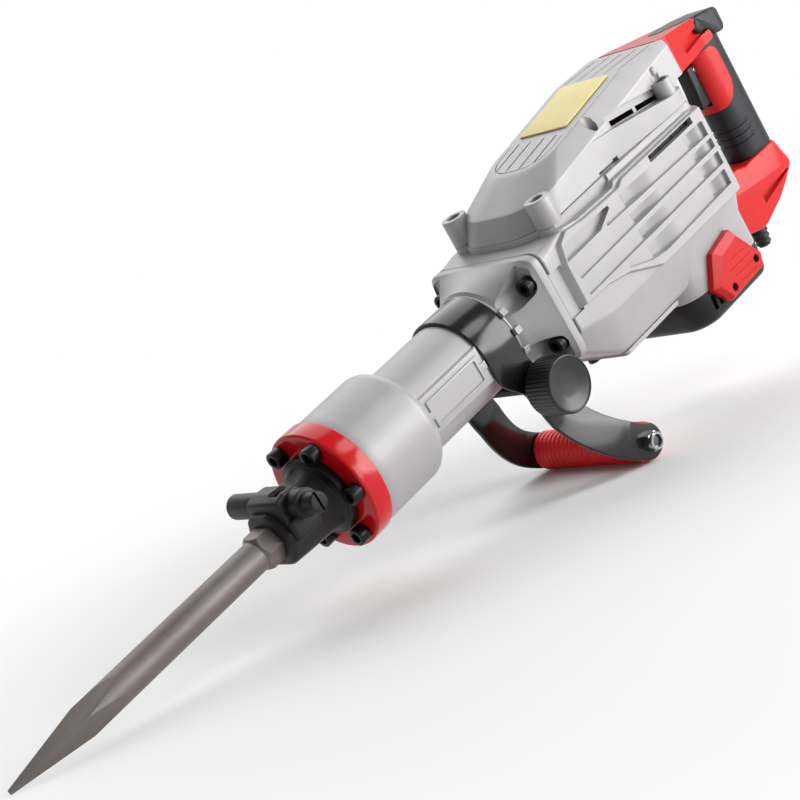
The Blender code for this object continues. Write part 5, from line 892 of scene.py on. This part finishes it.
def top_groove(start, end, y):
    """A shallow groove along the top: its half width follows the root of 1 - u^8, with u along it."""
    x = np.linspace(start, end, 24)
    u = 2 * (x - (start + end) / 2) / (end - start + 0.5)
    width = 1.3 * np.sqrt(np.clip(1 - u**8, 0.02, 1))[:, None]
    across = y + width * np.array([-1, -1, 1, 1])
    level = cover_top(x)[:, None] + np.array([5, -1, -1, 5])
    return skin(oriented("X", x[:, None], across, level))


def gear_cover():
    """The cover's shell and band, hollowed, grooved and cut at the shoulders, with bosses and screws."""
    mesh = join(cover_shell(), cover_band())
    mesh = cut(mesh, rim_line())
    cuts = [cover_hollow()]
    for way in (-1, 1):
        cuts += shoulder_cuts(way)
    mesh = cut(mesh, *cuts, *(top_groove(*groove) for groove in GROOVES))
    adds, holes = [], []
    for x, y, radius, top in BOSSES:
        adds.append(solid_turned([(COVER_FOOT_Z, radius, 0.2), (top, radius - 0.4, 0.8)], "Z", (x, y), 48))
        hole = [(top - 16, 6.2, 0.5), (top - 1, 6.6, 0.5), (top + 6, 8, 0)]
        holes.append(solid_turned(hole, "Z", (x, y), 36))
    for way in (-1, 1):
        holes.append(solid_turned([(82, 4.8, 2), (94, 5.4, 6), (125, 7.0, 0)], "Z", (415, way * 48.3), 40))
        adds.append(solid_turned([(80, 4.2, 0), (102, 4.2, 3.8)], "Z", (514, way * 50.4), 32))
    holes.append(prism([(532, 50, 0), (560, 50, 0), (560, 75.5, 0), (536, 75.5, 3)], "Y", -PAST_Y, PAST_Y))
    mesh = join(mesh, *adds)
    mesh = cut(mesh, *holes)
    piece("gear_cover_casting", mesh, "housing", CAST_PAINT, "gear_cover", crease=17)
    for i, (x, y, _, top) in enumerate(BOSSES):
        screw = socket_screw("Z", (x, y), top - 15.8, 1, length=30, radius=3, head=4.9, height=4.8, sides=36)
        piece(f"cover_socket_{i + 1}", [screw], "housing", BLACK_OXIDE, f"cover_screw_{i + 1}")


PLATE_START_X = 404
PLATE_LENGTH = 78
PLATE_HALF = 31


def rating_plate():
    """A bare plate with rounded corners, turned about Y and laid on the slope of the cover's top."""
    corners = mirrored([(0, PLATE_HALF, 2), (PLATE_LENGTH, PLATE_HALF, 2)])
    points, faces, ends = slab(corners, "Z", GAP, 1.8, 0.3)
    turn = np.arctan(COVER_SLOPE)
    x = points[:, 0] * np.cos(turn) - points[:, 2] * np.sin(turn)
    z = points[:, 0] * np.sin(turn) + points[:, 2] * np.cos(turn)
    laid = np.column_stack([x + PLATE_START_X, points[:, 1], z + cover_slope(PLATE_START_X)])
    piece("bare_plate", [(laid, faces, ends)], "housing", PLATE_YELLOW, "rating_plate")


# Tail and brush covers

BRUSH_SCREWS = [(460, -110), (502, -105)]
BRUSH_SCREW = {"length": 5, "radius": 2, "head": 3.6, "height": 2.4, "sides": 30}
# Each line in a brush cover's face: its two ends and its height
BRUSH_LINES = [(467, 492, -86), (463, 499, -94), (465, 501, -102), (472, 497, -110)]


def brush_outline(grow=0.0):
    """The brush cover's six corners along the hammer and up, or those of its seat when grown."""
    upper, lower, reach = -64 + grow, -120 - grow, 40 + grow
    return [
        (MOTOR_X - 0.6 * reach, upper - 0.15 * reach, 2), (MOTOR_X + 0.25 * reach, upper, 2),
        (MOTOR_X + 0.85 * reach, upper - reach, 2), (MOTOR_X + 0.7 * reach, lower + 2, 2),
        (MOTOR_X - 0.7 * reach, lower, 2), (MOTOR_X - 1.1 * reach, lower + 0.55 * reach, 2),
    ]


def brush_covers():
    """On each side a cap that slopes to a smaller face, with fine lines and two sunk screws."""
    face = [(464, -77.5), (491, -72.5), (511.5, -104.5), (506, -116), (454, -117), (443.5, -100)]
    face = [(x, z, 2) for x, z in face]
    rim = brush_outline()
    rings = [(rim, 60.3, 0), (rim, 66, 0.2), (rim, 66.6, 0.7), (face, 70, 0), (face, 70.3, 0.7)]
    for name, side in SIDES:
        cap = stepped("Y", [(corners, side * y, drawn) for corners, y, drawn in rings])
        cuts = []
        for start, end, z in BRUSH_LINES:
            line = [(start, z, 0.3), (end, z - 1, 0.3), (end, z - 1.9, 0.3), (start, z - 0.9, 0.3)]
            cuts.append(prism(line, "Y", *span(side, 69.6, PAST_Y), 2))
        for place in BRUSH_SCREWS:
            cuts.append(solid_turned([(side * 66, 4.0, 0.5), (side * 75, 4.3, 0)], "Y", place, 32))
        mesh = cut(cap, *cuts)
        piece(f"brush_cap_{name}", mesh, "housing", RED_MOULDING, f"brush_cover_{name}", crease=14)
        for i, place in enumerate(BRUSH_SCREWS):
            head = socket_screw("Y", place, side * 65.8, side, **BRUSH_SCREW)
            piece(f"brush_cap_{name}_screw_{i + 1}", [head], "housing", BLACK_OXIDE)


def tail_ring(z, drawn):
    """The motor barrel's outline at a height, drawn in most at its front and sides."""
    front = (MOTOR_FRONT_X + drawn, MOTOR_HALF - drawn, 28 - drawn / 2)
    rear = (CASE_REAR_X - GAP - drawn / 3, MOTOR_HALF - drawn, 14 - drawn / 2)
    return mirrored([front, rear]), z, 0


def tail_cover():
    """Round-cornered outlines down to a drawn-in base, hollowed, with tall slots on each side."""
    outside = [(-98.3, 0.4), (-99.2, 0), (-110, 0.8), (-121, 2), (-125, 3.2)]
    outside += [(-128.5, 5.5), (-130.5, 8.2), (-131, 9.6)]
    inside = [(-95, 4), (-121, 6), (-127, 13)]
    shell = stepped("Z", [tail_ring(*level) for level in outside], 12)
    cuts = [stepped("Z", [tail_ring(*level) for level in inside], 12)]
    for _, side in SIDES:
        for i in range(5):
            x = 436 + 9 * i
            cuts.append(prism(oblong((x, -119), (x + 5, -104), 0.5), "Y", *span(side, 52, PAST_Y), 3))
    mesh = cut(shell, *cuts)
    piece("tail_moulding", mesh, "housing", BLACK_MOULDING, "tail_cover")


# Rear handle

HANDLE_TOP_Z = 113
HANDLE_REAR_TOP_Z = 92
BUMPER_X = 674
BAR_X = 637
BAR_HALF_LENGTH = 25
BAR_HALF_WIDTH = 19
BAR_POWER = 2.7
TRIGGER_SLOT = prism(oblong((596, 13), (641, 61.5)), "Y", -8.3, 8.3)


def handle_top(x):
    """Height of the handle's top, which falls evenly from the gear cover to the bumper."""
    return HANDLE_TOP_Z + (HANDLE_REAR_TOP_Z - HANDLE_TOP_Z) * (x - COVER_REAR_X) / (BUMPER_X - COVER_REAR_X)


def bar_outline(grow=0.0):
    """The grip's plan, the square-cornered oval |x/a|^n + |y/b|^n = 1."""
    angle = turns(96)
    c, s = np.cos(angle), np.sin(angle)
    x = BAR_X + (BAR_HALF_LENGTH + grow) * np.sign(c) * np.abs(c) ** (2 / BAR_POWER)
    return np.stack([x, (BAR_HALF_WIDTH + grow) * np.sign(s) * np.abs(s) ** (2 / BAR_POWER)], -1)


def handle_bracket():
    """The upper bracket: a side outline crossed with a narrowing plan, and a long pocket each side."""
    front = COVER_REAR_X + GAP
    outline = [
        (front, HANDLE_TOP_Z, 0), (631, handle_top(631), 3), (623.5, 88.5, 4), (631, 81.5, 4),
        (643, 80, 3), (645, 69.5, 4), (600, 69.5, 10), (front, 72, 0),
    ]
    plan = mirrored([(front - 4, 38, 0), (565, 38, 8), (627, 20.6, 15), (656, 20.2, 0)])
    mesh = prism(outline, "Y", -42, 42, 6)
    mesh = cross(mesh, prism(plan, "Z", 20, 118, 8))
    for _, side in SIDES:
        pocket = [(587, 45, 0), (650, 45, 0), (650, 15, 0), (627, 15, 4), (587, 26.5, 1)]
        pocket = [(x, side * y, arc) for x, y, arc in pocket]
        mesh = cut(mesh, prism(pocket, "Z", 79.5, 90.5))
    return mesh


def handle_inset():
    """The grip's oval red panel: its plan crossed with a side outline, and two scoops beside the trigger."""
    rows = [raised(bar_outline(grow), z) for z, grow in ((4, 0.3), (4.5, 0.7), (68.7, 0.7), (69.2, 0.3))]
    side = [(604, 66, 0), (641, 66, 11), (641, 5, 26), (604, 5, 8)]
    mesh = skin(np.array(rows))
    mesh = cross(mesh, slab(side, "Y", -24, 24, 0.4, arcs=14))
    scoop = [(10, 3, 2), (16, 7.5, 6), (34, 7.5, 8), (45, 3, 2)]
    scoops = [solid_turned(scoop, "Z", (607, y), 32) for y in (-17, 17)]
    return cut(mesh, TRIGGER_SLOT, *scoops)


def handle_foot():
    """Sections along the hammer: a narrow top, slanted shoulders, and upright sides below an edge."""
    x = np.concatenate([np.linspace(530.3, 664, 60), [667, 669.5, 671.5, 673, 673.8]])
    top = np.interp(x, [530, 590, 604, 612, 658, 664, 674], [-44, -49, -53.6, -53, -54, -58, -72])
    edge = np.interp(x, [530, 573, 633, 660, 674], [-62, -68, -78, -83, -84])
    bottom = np.interp(x, [530, 575, 580, 590, 625, 664, 674], [-98, -112, -113.5, -113.8, -105, -88.5, -85])
    half = np.interp(x, [530, 596, 647, 664, 670, 673, 673.8], [26, 23.5, 20.5, 17.6, 13.5, 9.5, 6.5])
    neck = np.minimum(half - 1, np.interp(x, [530, 585, 606, 655, 674], [22, 18, 18, 17.5, 4]))
    rings = []
    for upper, middle, lower, wide, narrow in zip(top, edge, bottom, half, neck):
        side = [(narrow, upper, 2.5), (wide, min(middle, upper - 5), 1.5), (wide - 1, lower, 2.5)]
        rings.append(rounded(mirrored(side, 0), 5))
    rings = np.array(rings)
    mesh = skin(oriented("X", x[:, None], rings[..., 0], rings[..., 1]))
    pocket = [(600, -84.5, 1), (657, -87, 1), (657, -88.6, 1), (600.5, -96, 1)]
    return cut(mesh, *(prism(pocket, "Y", *span(side, 14.5, PAST_Y)) for _, side in SIDES))


def handle_overmould():
    """The grip's plan carried up the grip, with three grooves across its front and notches down its back."""
    base, sunk = bar_outline(), bar_outline(-1.1)
    front = eased(638, 632, base[:, :1])
    grooves = [-33 + 8 * i + np.array([-2, -1.4, 1.4, 2]) for i in range(3)]
    z = np.concatenate([[-52.4, -51.6, -48], *grooves, [0, 40, 76]])
    share = np.concatenate([[0.3, 0, 0], np.tile([0, 1, 1, 0], 3), [0, 0, 0]])[:, None, None]
    plans = base + (sunk - base) * front * share
    grip = skin(oriented("Z", z[:, None], plans[..., 0], plans[..., 1]))
    cuts = [TRIGGER_SLOT]
    for i in range(9):
        z = 56 - 11.5 * i
        notch = [(659.6, z, 0), (670, z, 0), (670, z - 3, 0), (661.6, z - 6.5, 0)]
        cuts.append(prism(notch, "Y", -14, 14))
    return cut(grip, *cuts)


def handle_bumper():
    """The cap of the handle: a thin tongue over the bracket that grows into a blunt nose behind the grip."""
    outline = [
        (590, handle_top(590) + 0.4, 0), (640, handle_top(640) + 0.8, 30),
        (666, HANDLE_REAR_TOP_Z + 1.2, 5), (BUMPER_X, 79, 6), (664, 68, 5), (649, 70, 4),
        (643, 79.5, 2), (631, 81, 4), (623.5, 88, 4), (630, 96.5, 1.5),
        (590, handle_top(590) - 5, 0),
    ]
    plan = mirrored([(590, 7, 5), (630, 20.4, 8), (BUMPER_X, 18.8, 12)])
    form = slab(outline, "Y", -20.4, 20.4, 4.2, 6)
    return cross(form, slab(plan, "Z", 40, 116, 1, arcs=10))


def trigger():
    """The trigger's lever, an outline with a hollowed front, and its pin."""
    lever = [(602, 59, 2), (618, 59, 2), (618, 17, 2), (598, 15, 2), (601, 37, 30)]
    piece("trigger_lever", [slab(lever, "Y", -8, 8, 1.2)], "trigger", BLACK_MOULDING, "trigger")
    pin = solid_turned([(-8.2, 2.5, 0.2), (8.2, 2.5, 0.2)], "Y", (613, 54), 24)
    piece("trigger_axle", [pin], "housing", BRIGHT_STEEL, "trigger_pin")


GLAND_X = 596
GLAND_TOP_Z = -114.3
GLAND_RADIUS = 11
GLAND_BORE = 4
GLAND_RIB = 6
GLAND_RIBS = 4


def cord_gland():
    """A sleeve whose ribs grow smaller downwards: each is a collar and a narrower neck below it."""
    profile = [(GLAND_TOP_Z, GLAND_BORE, 0), (GLAND_TOP_Z, GLAND_RADIUS, 0.5)]
    for i in range(1, GLAND_RIBS + 1):
        z = GLAND_TOP_Z - GLAND_RIB * i
        radius = GLAND_RADIUS - 0.85 * i
        profile += [(z + 2.6, radius + 0.5, 0.4), (z + 1.8, radius - 1.2, 0.3), (z, radius - 1.2, 0.3)]
    profile.append((GLAND_TOP_Z - GLAND_RIB * GLAND_RIBS, GLAND_BORE, 0))
    sleeve = turned(rounded(profile, 4), "Z", (GLAND_X, 0), 40, True)
    piece("gland", [sleeve], "housing", BLACK_RUBBER, "cord_gland")


def rear_handle():
    """The red mouldings of the handle, and the black overmould with its bumper."""
    for form in (handle_bracket, handle_inset, handle_foot):
        piece(form.__name__, form(), "housing", RED_MOULDING, "rear_handle")
    piece("grip_overmould", handle_overmould(), "housing", BLACK_RUBBER, "handle_overmould")
    piece("handle_bumper", handle_bumper(), "housing", BLACK_RUBBER, "handle_overmould")


# Side handle

PIVOT = (217.5, -52)
EAR = 18
STRAP_FRONT_X = 180
STRAP_REAR_X = 221
STRAP_INNER = 43.2
STRAP_THICK = 3
GRIP = (275, -154)
GRIP_HALF_LENGTH = 65
GRIP_RIBS = 22
ARM_TOP_Y = 46.5
ARM_END_Y = 65.3
ARM_THICK = 4.5
ARM_WIDE = 18
ARM_NARROW = 17
ARM_SAG = 15
BOLT_RADIUS = 4.9
NUT_FLATS = [(0, 9.2), (0.8, 10.5), (5.4, 10.5), (6.4, 9.0)]
NUT_COLLAR = [(6.6, 8.4), (9.2, 8.1), (9.8, 7.4), (9.8, 6.1), (9.2, 5.7), (5.5, 5.6)]
KNOB_BACK_Y = -51.3
KNOB_FRONT_Y = -82.8
KNOB_RADIUS = 26
KNOB_FLUTES = 44


def handle_strap():
    """A flat band with rounded edges: its section follows the bend over the barrel from ear to ear."""
    lower = PIVOT[1] - EAR * 0.995 * np.cos(np.linspace(0, np.pi / 2, 14))
    heights = np.concatenate([lower, np.linspace(PIVOT[1], 0, 14)[1:-1]])
    bend = np.linspace(0, np.pi, 61)
    straight = np.ones(len(heights))
    z = np.concatenate([heights, 0 * bend, heights[::-1]])
    across = np.concatenate([straight, np.cos(bend), -straight])
    up = np.concatenate([0 * straight, np.sin(bend), 0 * straight])
    below = z < PIVOT[1]
    lobe = np.sqrt(np.clip(EAR**2 - (z - PIVOT[1]) ** 2, 1e-3, None))
    ease = eased(22, -PIVOT[1], -z)
    front = np.where(below, PIVOT[0] - lobe, STRAP_FRONT_X + (PIVOT[0] - EAR - STRAP_FRONT_X) * ease)
    rear = np.where(below, PIVOT[0] + lobe, STRAP_REAR_X + (PIVOT[0] + EAR - STRAP_REAR_X) * ease)
    wide = 40
    section = rounded([(0, 0, 0.6), (wide, 0, 0.6), (wide, STRAP_THICK, 1.2), (0, STRAP_THICK, 1.2)], 5)
    share, level = section[:, 0] / wide, STRAP_INNER + section[:, 1]
    x = front[:, None] + (rear - front)[:, None] * share
    rows = oriented("X", x, across[:, None] * level, z[:, None] + up[:, None] * level)
    piece("strap_band", [skin(rows)], "strap", BLACK_GLOSS, "handle_strap")


def side_arm(name, side):
    """A flat bar on a circular arc from pivot to grip: flat under the knob, flared outwards, then square."""
    start, end = np.array(PIVOT), np.array(GRIP)
    chord = np.linalg.norm(end - start)
    along = (end - start) / chord
    inward = np.array([-along[1], along[0]])
    radius = (chord**2 / 4 + ARM_SAG**2) / (2 * ARM_SAG)
    hub = (start + end) / 2 + inward * (radius - ARM_SAG)
    half_turn = np.arcsin(chord / 2 / radius)
    lobe = np.cos(np.linspace(0, np.pi / 2, 10))[:-1] * 0.995
    share = np.concatenate([np.zeros(9), np.linspace(0, 1, 50), np.ones(9)])
    width = ARM_WIDE + (ARM_NARROW - ARM_WIDE) * share
    over = np.concatenate([-lobe * ARM_WIDE, np.zeros(50), lobe[::-1] * ARM_NARROW])
    angle = half_turn * (2 * share - 1)
    spoke = np.sin(angle)[:, None] * along - np.cos(angle)[:, None] * inward
    ahead = np.cos(angle)[:, None] * along + np.sin(angle)[:, None] * inward
    middle = hub + spoke * radius + ahead * over[:, None]
    half = np.sqrt(np.clip(width**2 - over**2, 1e-3, None))
    flare = np.clip((share - 0.25) / 0.53, 0, 1)
    flare = 0.75 * flare + 0.25 * eased(0, 1, flare)
    inner = ARM_TOP_Y + (ARM_END_Y - ARM_TOP_Y) * flare
    wide = 20
    section = rounded([(-wide, 0, 1), (wide, 0, 1), (wide, ARM_THICK, 1.4), (-wide, ARM_THICK, 1.4)], 5)
    reach = half[:, None] * section[:, 0] / wide
    x = middle[:, :1] - spoke[:, :1] * reach
    z = middle[:, 1:] - spoke[:, 1:] * reach
    rows = oriented("X", x, side * (inner[:, None] + section[:, 1]), z)
    piece(f"bent_{name}", [skin(rows)], "side_handle", BLACK_GLOSS, name)


def side_grip():
    """A round bar whose radius rises at each rib by a power of a sine, with its bolt and lock nut."""
    y = np.linspace(-GRIP_HALF_LENGTH, GRIP_HALF_LENGTH, GRIP_RIBS * 10 + 1)[1:-1]
    wave = np.abs(np.sin(np.pi * GRIP_RIBS * (y / GRIP_HALF_LENGTH + 1) / 2)) ** 0.7
    ends = np.array([(GRIP_HALF_LENGTH, 15.5), (GRIP_HALF_LENGTH, CORE)])
    profile = np.concatenate([ends[::-1] * (-1, 1), np.column_stack([y, 16.9 + 1.6 * wave]), ends])
    piece("ribbed_grip", [turned(profile, "Y", GRIP, 72)], "side_handle", RED_RUBBER, "side_grip")
    outer = ARM_END_Y + ARM_THICK + GAP
    nut = hex_head(GRIP, -outer, -1, NUT_FLATS, NUT_COLLAR)
    piece("lock_nut", [nut], "side_handle", BRIGHT_STEEL, "grip_nut")
    thread = solid_turned([(-outer - 7.2, BOLT_RADIUS, 0.8), (outer, BOLT_RADIUS, 0)], "Y", GRIP, 32)
    # The bolt's dark steel is painted shade on its recessed end
    piece("grip_through_bolt", [thread, hex_head(GRIP, outer, 1)], "side_handle", BOLT_STEEL_PAINTED_SHADE, "grip_bolt")


def clamp_bolt():
    """The bolt on which the arms swing, with its head on the far side."""
    outer = ARM_TOP_Y + ARM_THICK + GAP
    stem = solid_turned([(-66, BOLT_RADIUS, 0.5), (outer, BOLT_RADIUS, 0)], "Y", PIVOT, 32)
    piece("pivot_through_bolt", [stem, hex_head(PIVOT, outer, 1)], "side_handle", BLACK_OXIDE, "pivot_bolt")


def clamp_knob():
    """A turned knob with a dished face; a clipped cosine of the angle cuts its flutes."""
    corners = [
        (KNOB_BACK_Y, CORE, 0), (KNOB_BACK_Y, KNOB_RADIUS - 2, 1),
        (KNOB_BACK_Y - 2.4, KNOB_RADIUS, 1), (KNOB_FRONT_Y + 2.2, KNOB_RADIUS, 1.2),
        (KNOB_FRONT_Y + 0.5, KNOB_RADIUS - 0.9, 0.5), (KNOB_FRONT_Y, KNOB_RADIUS - 1.8, 0.4),
        (KNOB_FRONT_Y + 0.9, KNOB_RADIUS - 3, 0.8), (KNOB_FRONT_Y + 3.6, 12, 30),
        (KNOB_FRONT_Y + 4.2, CORE, 0),
    ]
    profile = rounded(corners, 5)
    y, radius = profile.T
    share = eased(KNOB_FRONT_Y + 1.6, KNOB_FRONT_Y + 4.5, y) * eased(KNOB_BACK_Y - 0.5, KNOB_BACK_Y - 3, y)
    share = np.where(radius > KNOB_RADIUS - 3, share, 0)
    sides = KNOB_FLUTES * 8
    wave = -0.7 * np.clip(np.cos(KNOB_FLUTES * turns(sides)), 0, 1) ** 0.6
    knob = turned(profile, "Y", PIVOT, sides, flutes=share[:, None] * wave)
    piece("fluted_knob", [knob], "knob", BLACK_KNOB, "clamp_knob", crease=40)


chisel_bit()
tool_retainer()
retainer_lever()
front_ring()
cylinder_case()
crank_case()
vent_shade_fillers()
gear_cover()
rating_plate()
brush_covers()
tail_cover()
rear_handle()
trigger()
cord_gland()
handle_strap()
for side_name, side_sign in SIDES:
    side_arm(f"side_arm_{side_name}", side_sign)
side_grip()
clamp_bolt()
clamp_knob()

for row in frame["record"]["subparts"]:
    node = frame["nodes"][row["node"]]
    if not node.hide_render:
        node.data.materials.clear()
        node.data.materials.append(PLAIN_FINISH[row["material_slot"]])


# Floor, light and camera, in metres

FLOOR_REACH = 14
FLOOR_GREY = (0.79, 0.79, 0.79, 1)
FADE_CENTRE = (0.12, -0.2, 0)
FADE_NEAR = 0.3
FADE_FAR = 0.95
# Each light: its name, place, aim, diameter and power in watts
LIGHTS = [
    ("key", (1.75, -1.9, 0.95), (0, 0, 0.2), 2.0, 76),
    ("front", (0.54, -2.24, 0.58), (0, 0, 0.15), 1.0, 12),
    ("upper", (0.8, -1.25, 2.06), (0, 0, 0.2), 0.9, 9),
    ("back", (0.7, 1.3, 2.1), (0.1, 0, 0.2), 2.8, 34),
]
# The world's bright side, and the level of its light on the near side and on the bright one
FAR_SIDE = (0.6, 0.8, 0.0)
NEAR_LEVEL = 0.25
FAR_LEVEL = 1.0
# The camera's right, up and back directions and its place in millimetres, in the tool frame
VIEW_RIGHT = (0.6069, -0.6258, -0.4899)
VIEW_UP = (0.5773, -0.0766, 0.8130)
VIEW_BACK = (-0.5463, -0.7762, 0.3148)
EYE = (-823.1, -1331.4, 552.1)
LENS = 90.85
SENSOR = 36


def floor():
    """A wide pale floor that turns evenly bright far from the object, so that it runs into the background."""
    mesh = bpy.data.meshes.new("floor")
    corners = [(x * FLOOR_REACH, y * FLOOR_REACH, 0) for x, y in ((-1, -1), (1, -1), (1, 1), (-1, 1))]
    mesh.from_pydata(corners, [], [(0, 1, 2, 3)])
    material = bpy.data.materials.new("pale_floor")
    material.use_nodes = True
    tree = material.node_tree
    shader = tree.nodes["Principled BSDF"]
    fill_inputs(tree, shader, {"Base Color": FLOOR_GREY, "Roughness": 0.75, "Specular IOR Level": 0.2})
    place = add_node(tree, "TexCoord").outputs["Object"]
    distance = add_node(tree, "VectorMath", {0: place, 1: FADE_CENTRE}, operation="DISTANCE").outputs["Value"]
    fade = {"Value": distance, "From Min": FADE_NEAR, "From Max": FADE_FAR}
    fade = add_node(tree, "MapRange", fade, interpolation_type="SMOOTHSTEP").outputs["Result"]
    glow = add_node(tree, "Emission", {"Strength": 1.0}).outputs["Emission"]
    mix = add_node(tree, "MixShader", {"Fac": fade, 1: shader.outputs["BSDF"], 2: glow})
    fill_inputs(tree, tree.nodes["Material Output"], {"Surface": mix.outputs["Shader"]})
    mesh.materials.append(material)
    linked("floor", mesh)


def studio_world():
    """Soft light from all round: dim on the near side and bright behind the object, on a white backdrop."""
    world = bpy.data.worlds.new("studio")
    world.use_nodes = True
    tree = world.node_tree
    place = add_node(tree, "TexCoord").outputs["Generated"]
    facing = add_node(tree, "VectorMath", {0: place, 1: FAR_SIDE}, operation="DOT_PRODUCT").outputs["Value"]
    level = {"Value": facing, "From Min": 0.2, "From Max": 0.85, "To Min": NEAR_LEVEL, "To Max": FAR_LEVEL}
    level = add_node(tree, "MapRange", level, interpolation_type="SMOOTHSTEP").outputs["Result"]
    camera_ray = add_node(tree, "LightPath").outputs["Is Camera Ray"]
    seen = add_node(tree, "Math", {0: level, 1: camera_ray}, operation="MAXIMUM").outputs["Value"]
    fill_inputs(tree, tree.nodes["Background"], {"Color": (1, 1, 1, 1), "Strength": seen})
    bpy.context.scene.world = world


def stand(name, data, place, axes):
    """A light or camera at a place, turned so that its right, up and back directions are the given axes."""
    obj = linked(name, data)
    turn = Matrix(np.transpose(axes).tolist()).to_quaternion()
    obj.matrix_world = Matrix.LocRotScale(np.asarray(place, float).tolist(), turn, None)
    return obj


def area_light(name, place, aim, size, power):
    """A round light at a place, which faces its aim."""
    light = bpy.data.lights.new(name, "AREA")
    light.shape = "DISK"
    light.size = size
    light.energy = power
    back = unit(np.subtract(place, aim))
    right = unit(np.cross([0, 0, 1.0], back))
    stand(name, light, place, [right, np.cross(back, right), back])


def camera():
    """The view that fits the picture."""
    data = bpy.data.cameras.new("camera")
    data.lens = LENS
    data.sensor_width = SENSOR
    data.clip_end = 50
    axes = np.array([VIEW_RIGHT, VIEW_UP, VIEW_BACK]) @ TOOL_AXES
    bpy.context.scene.camera = stand("camera", data, placed(EYE), axes)


floor()
for light in LIGHTS:
    area_light(*light)
studio_world()
bpy.context.scene.view_settings.view_transform = "Standard"
camera()
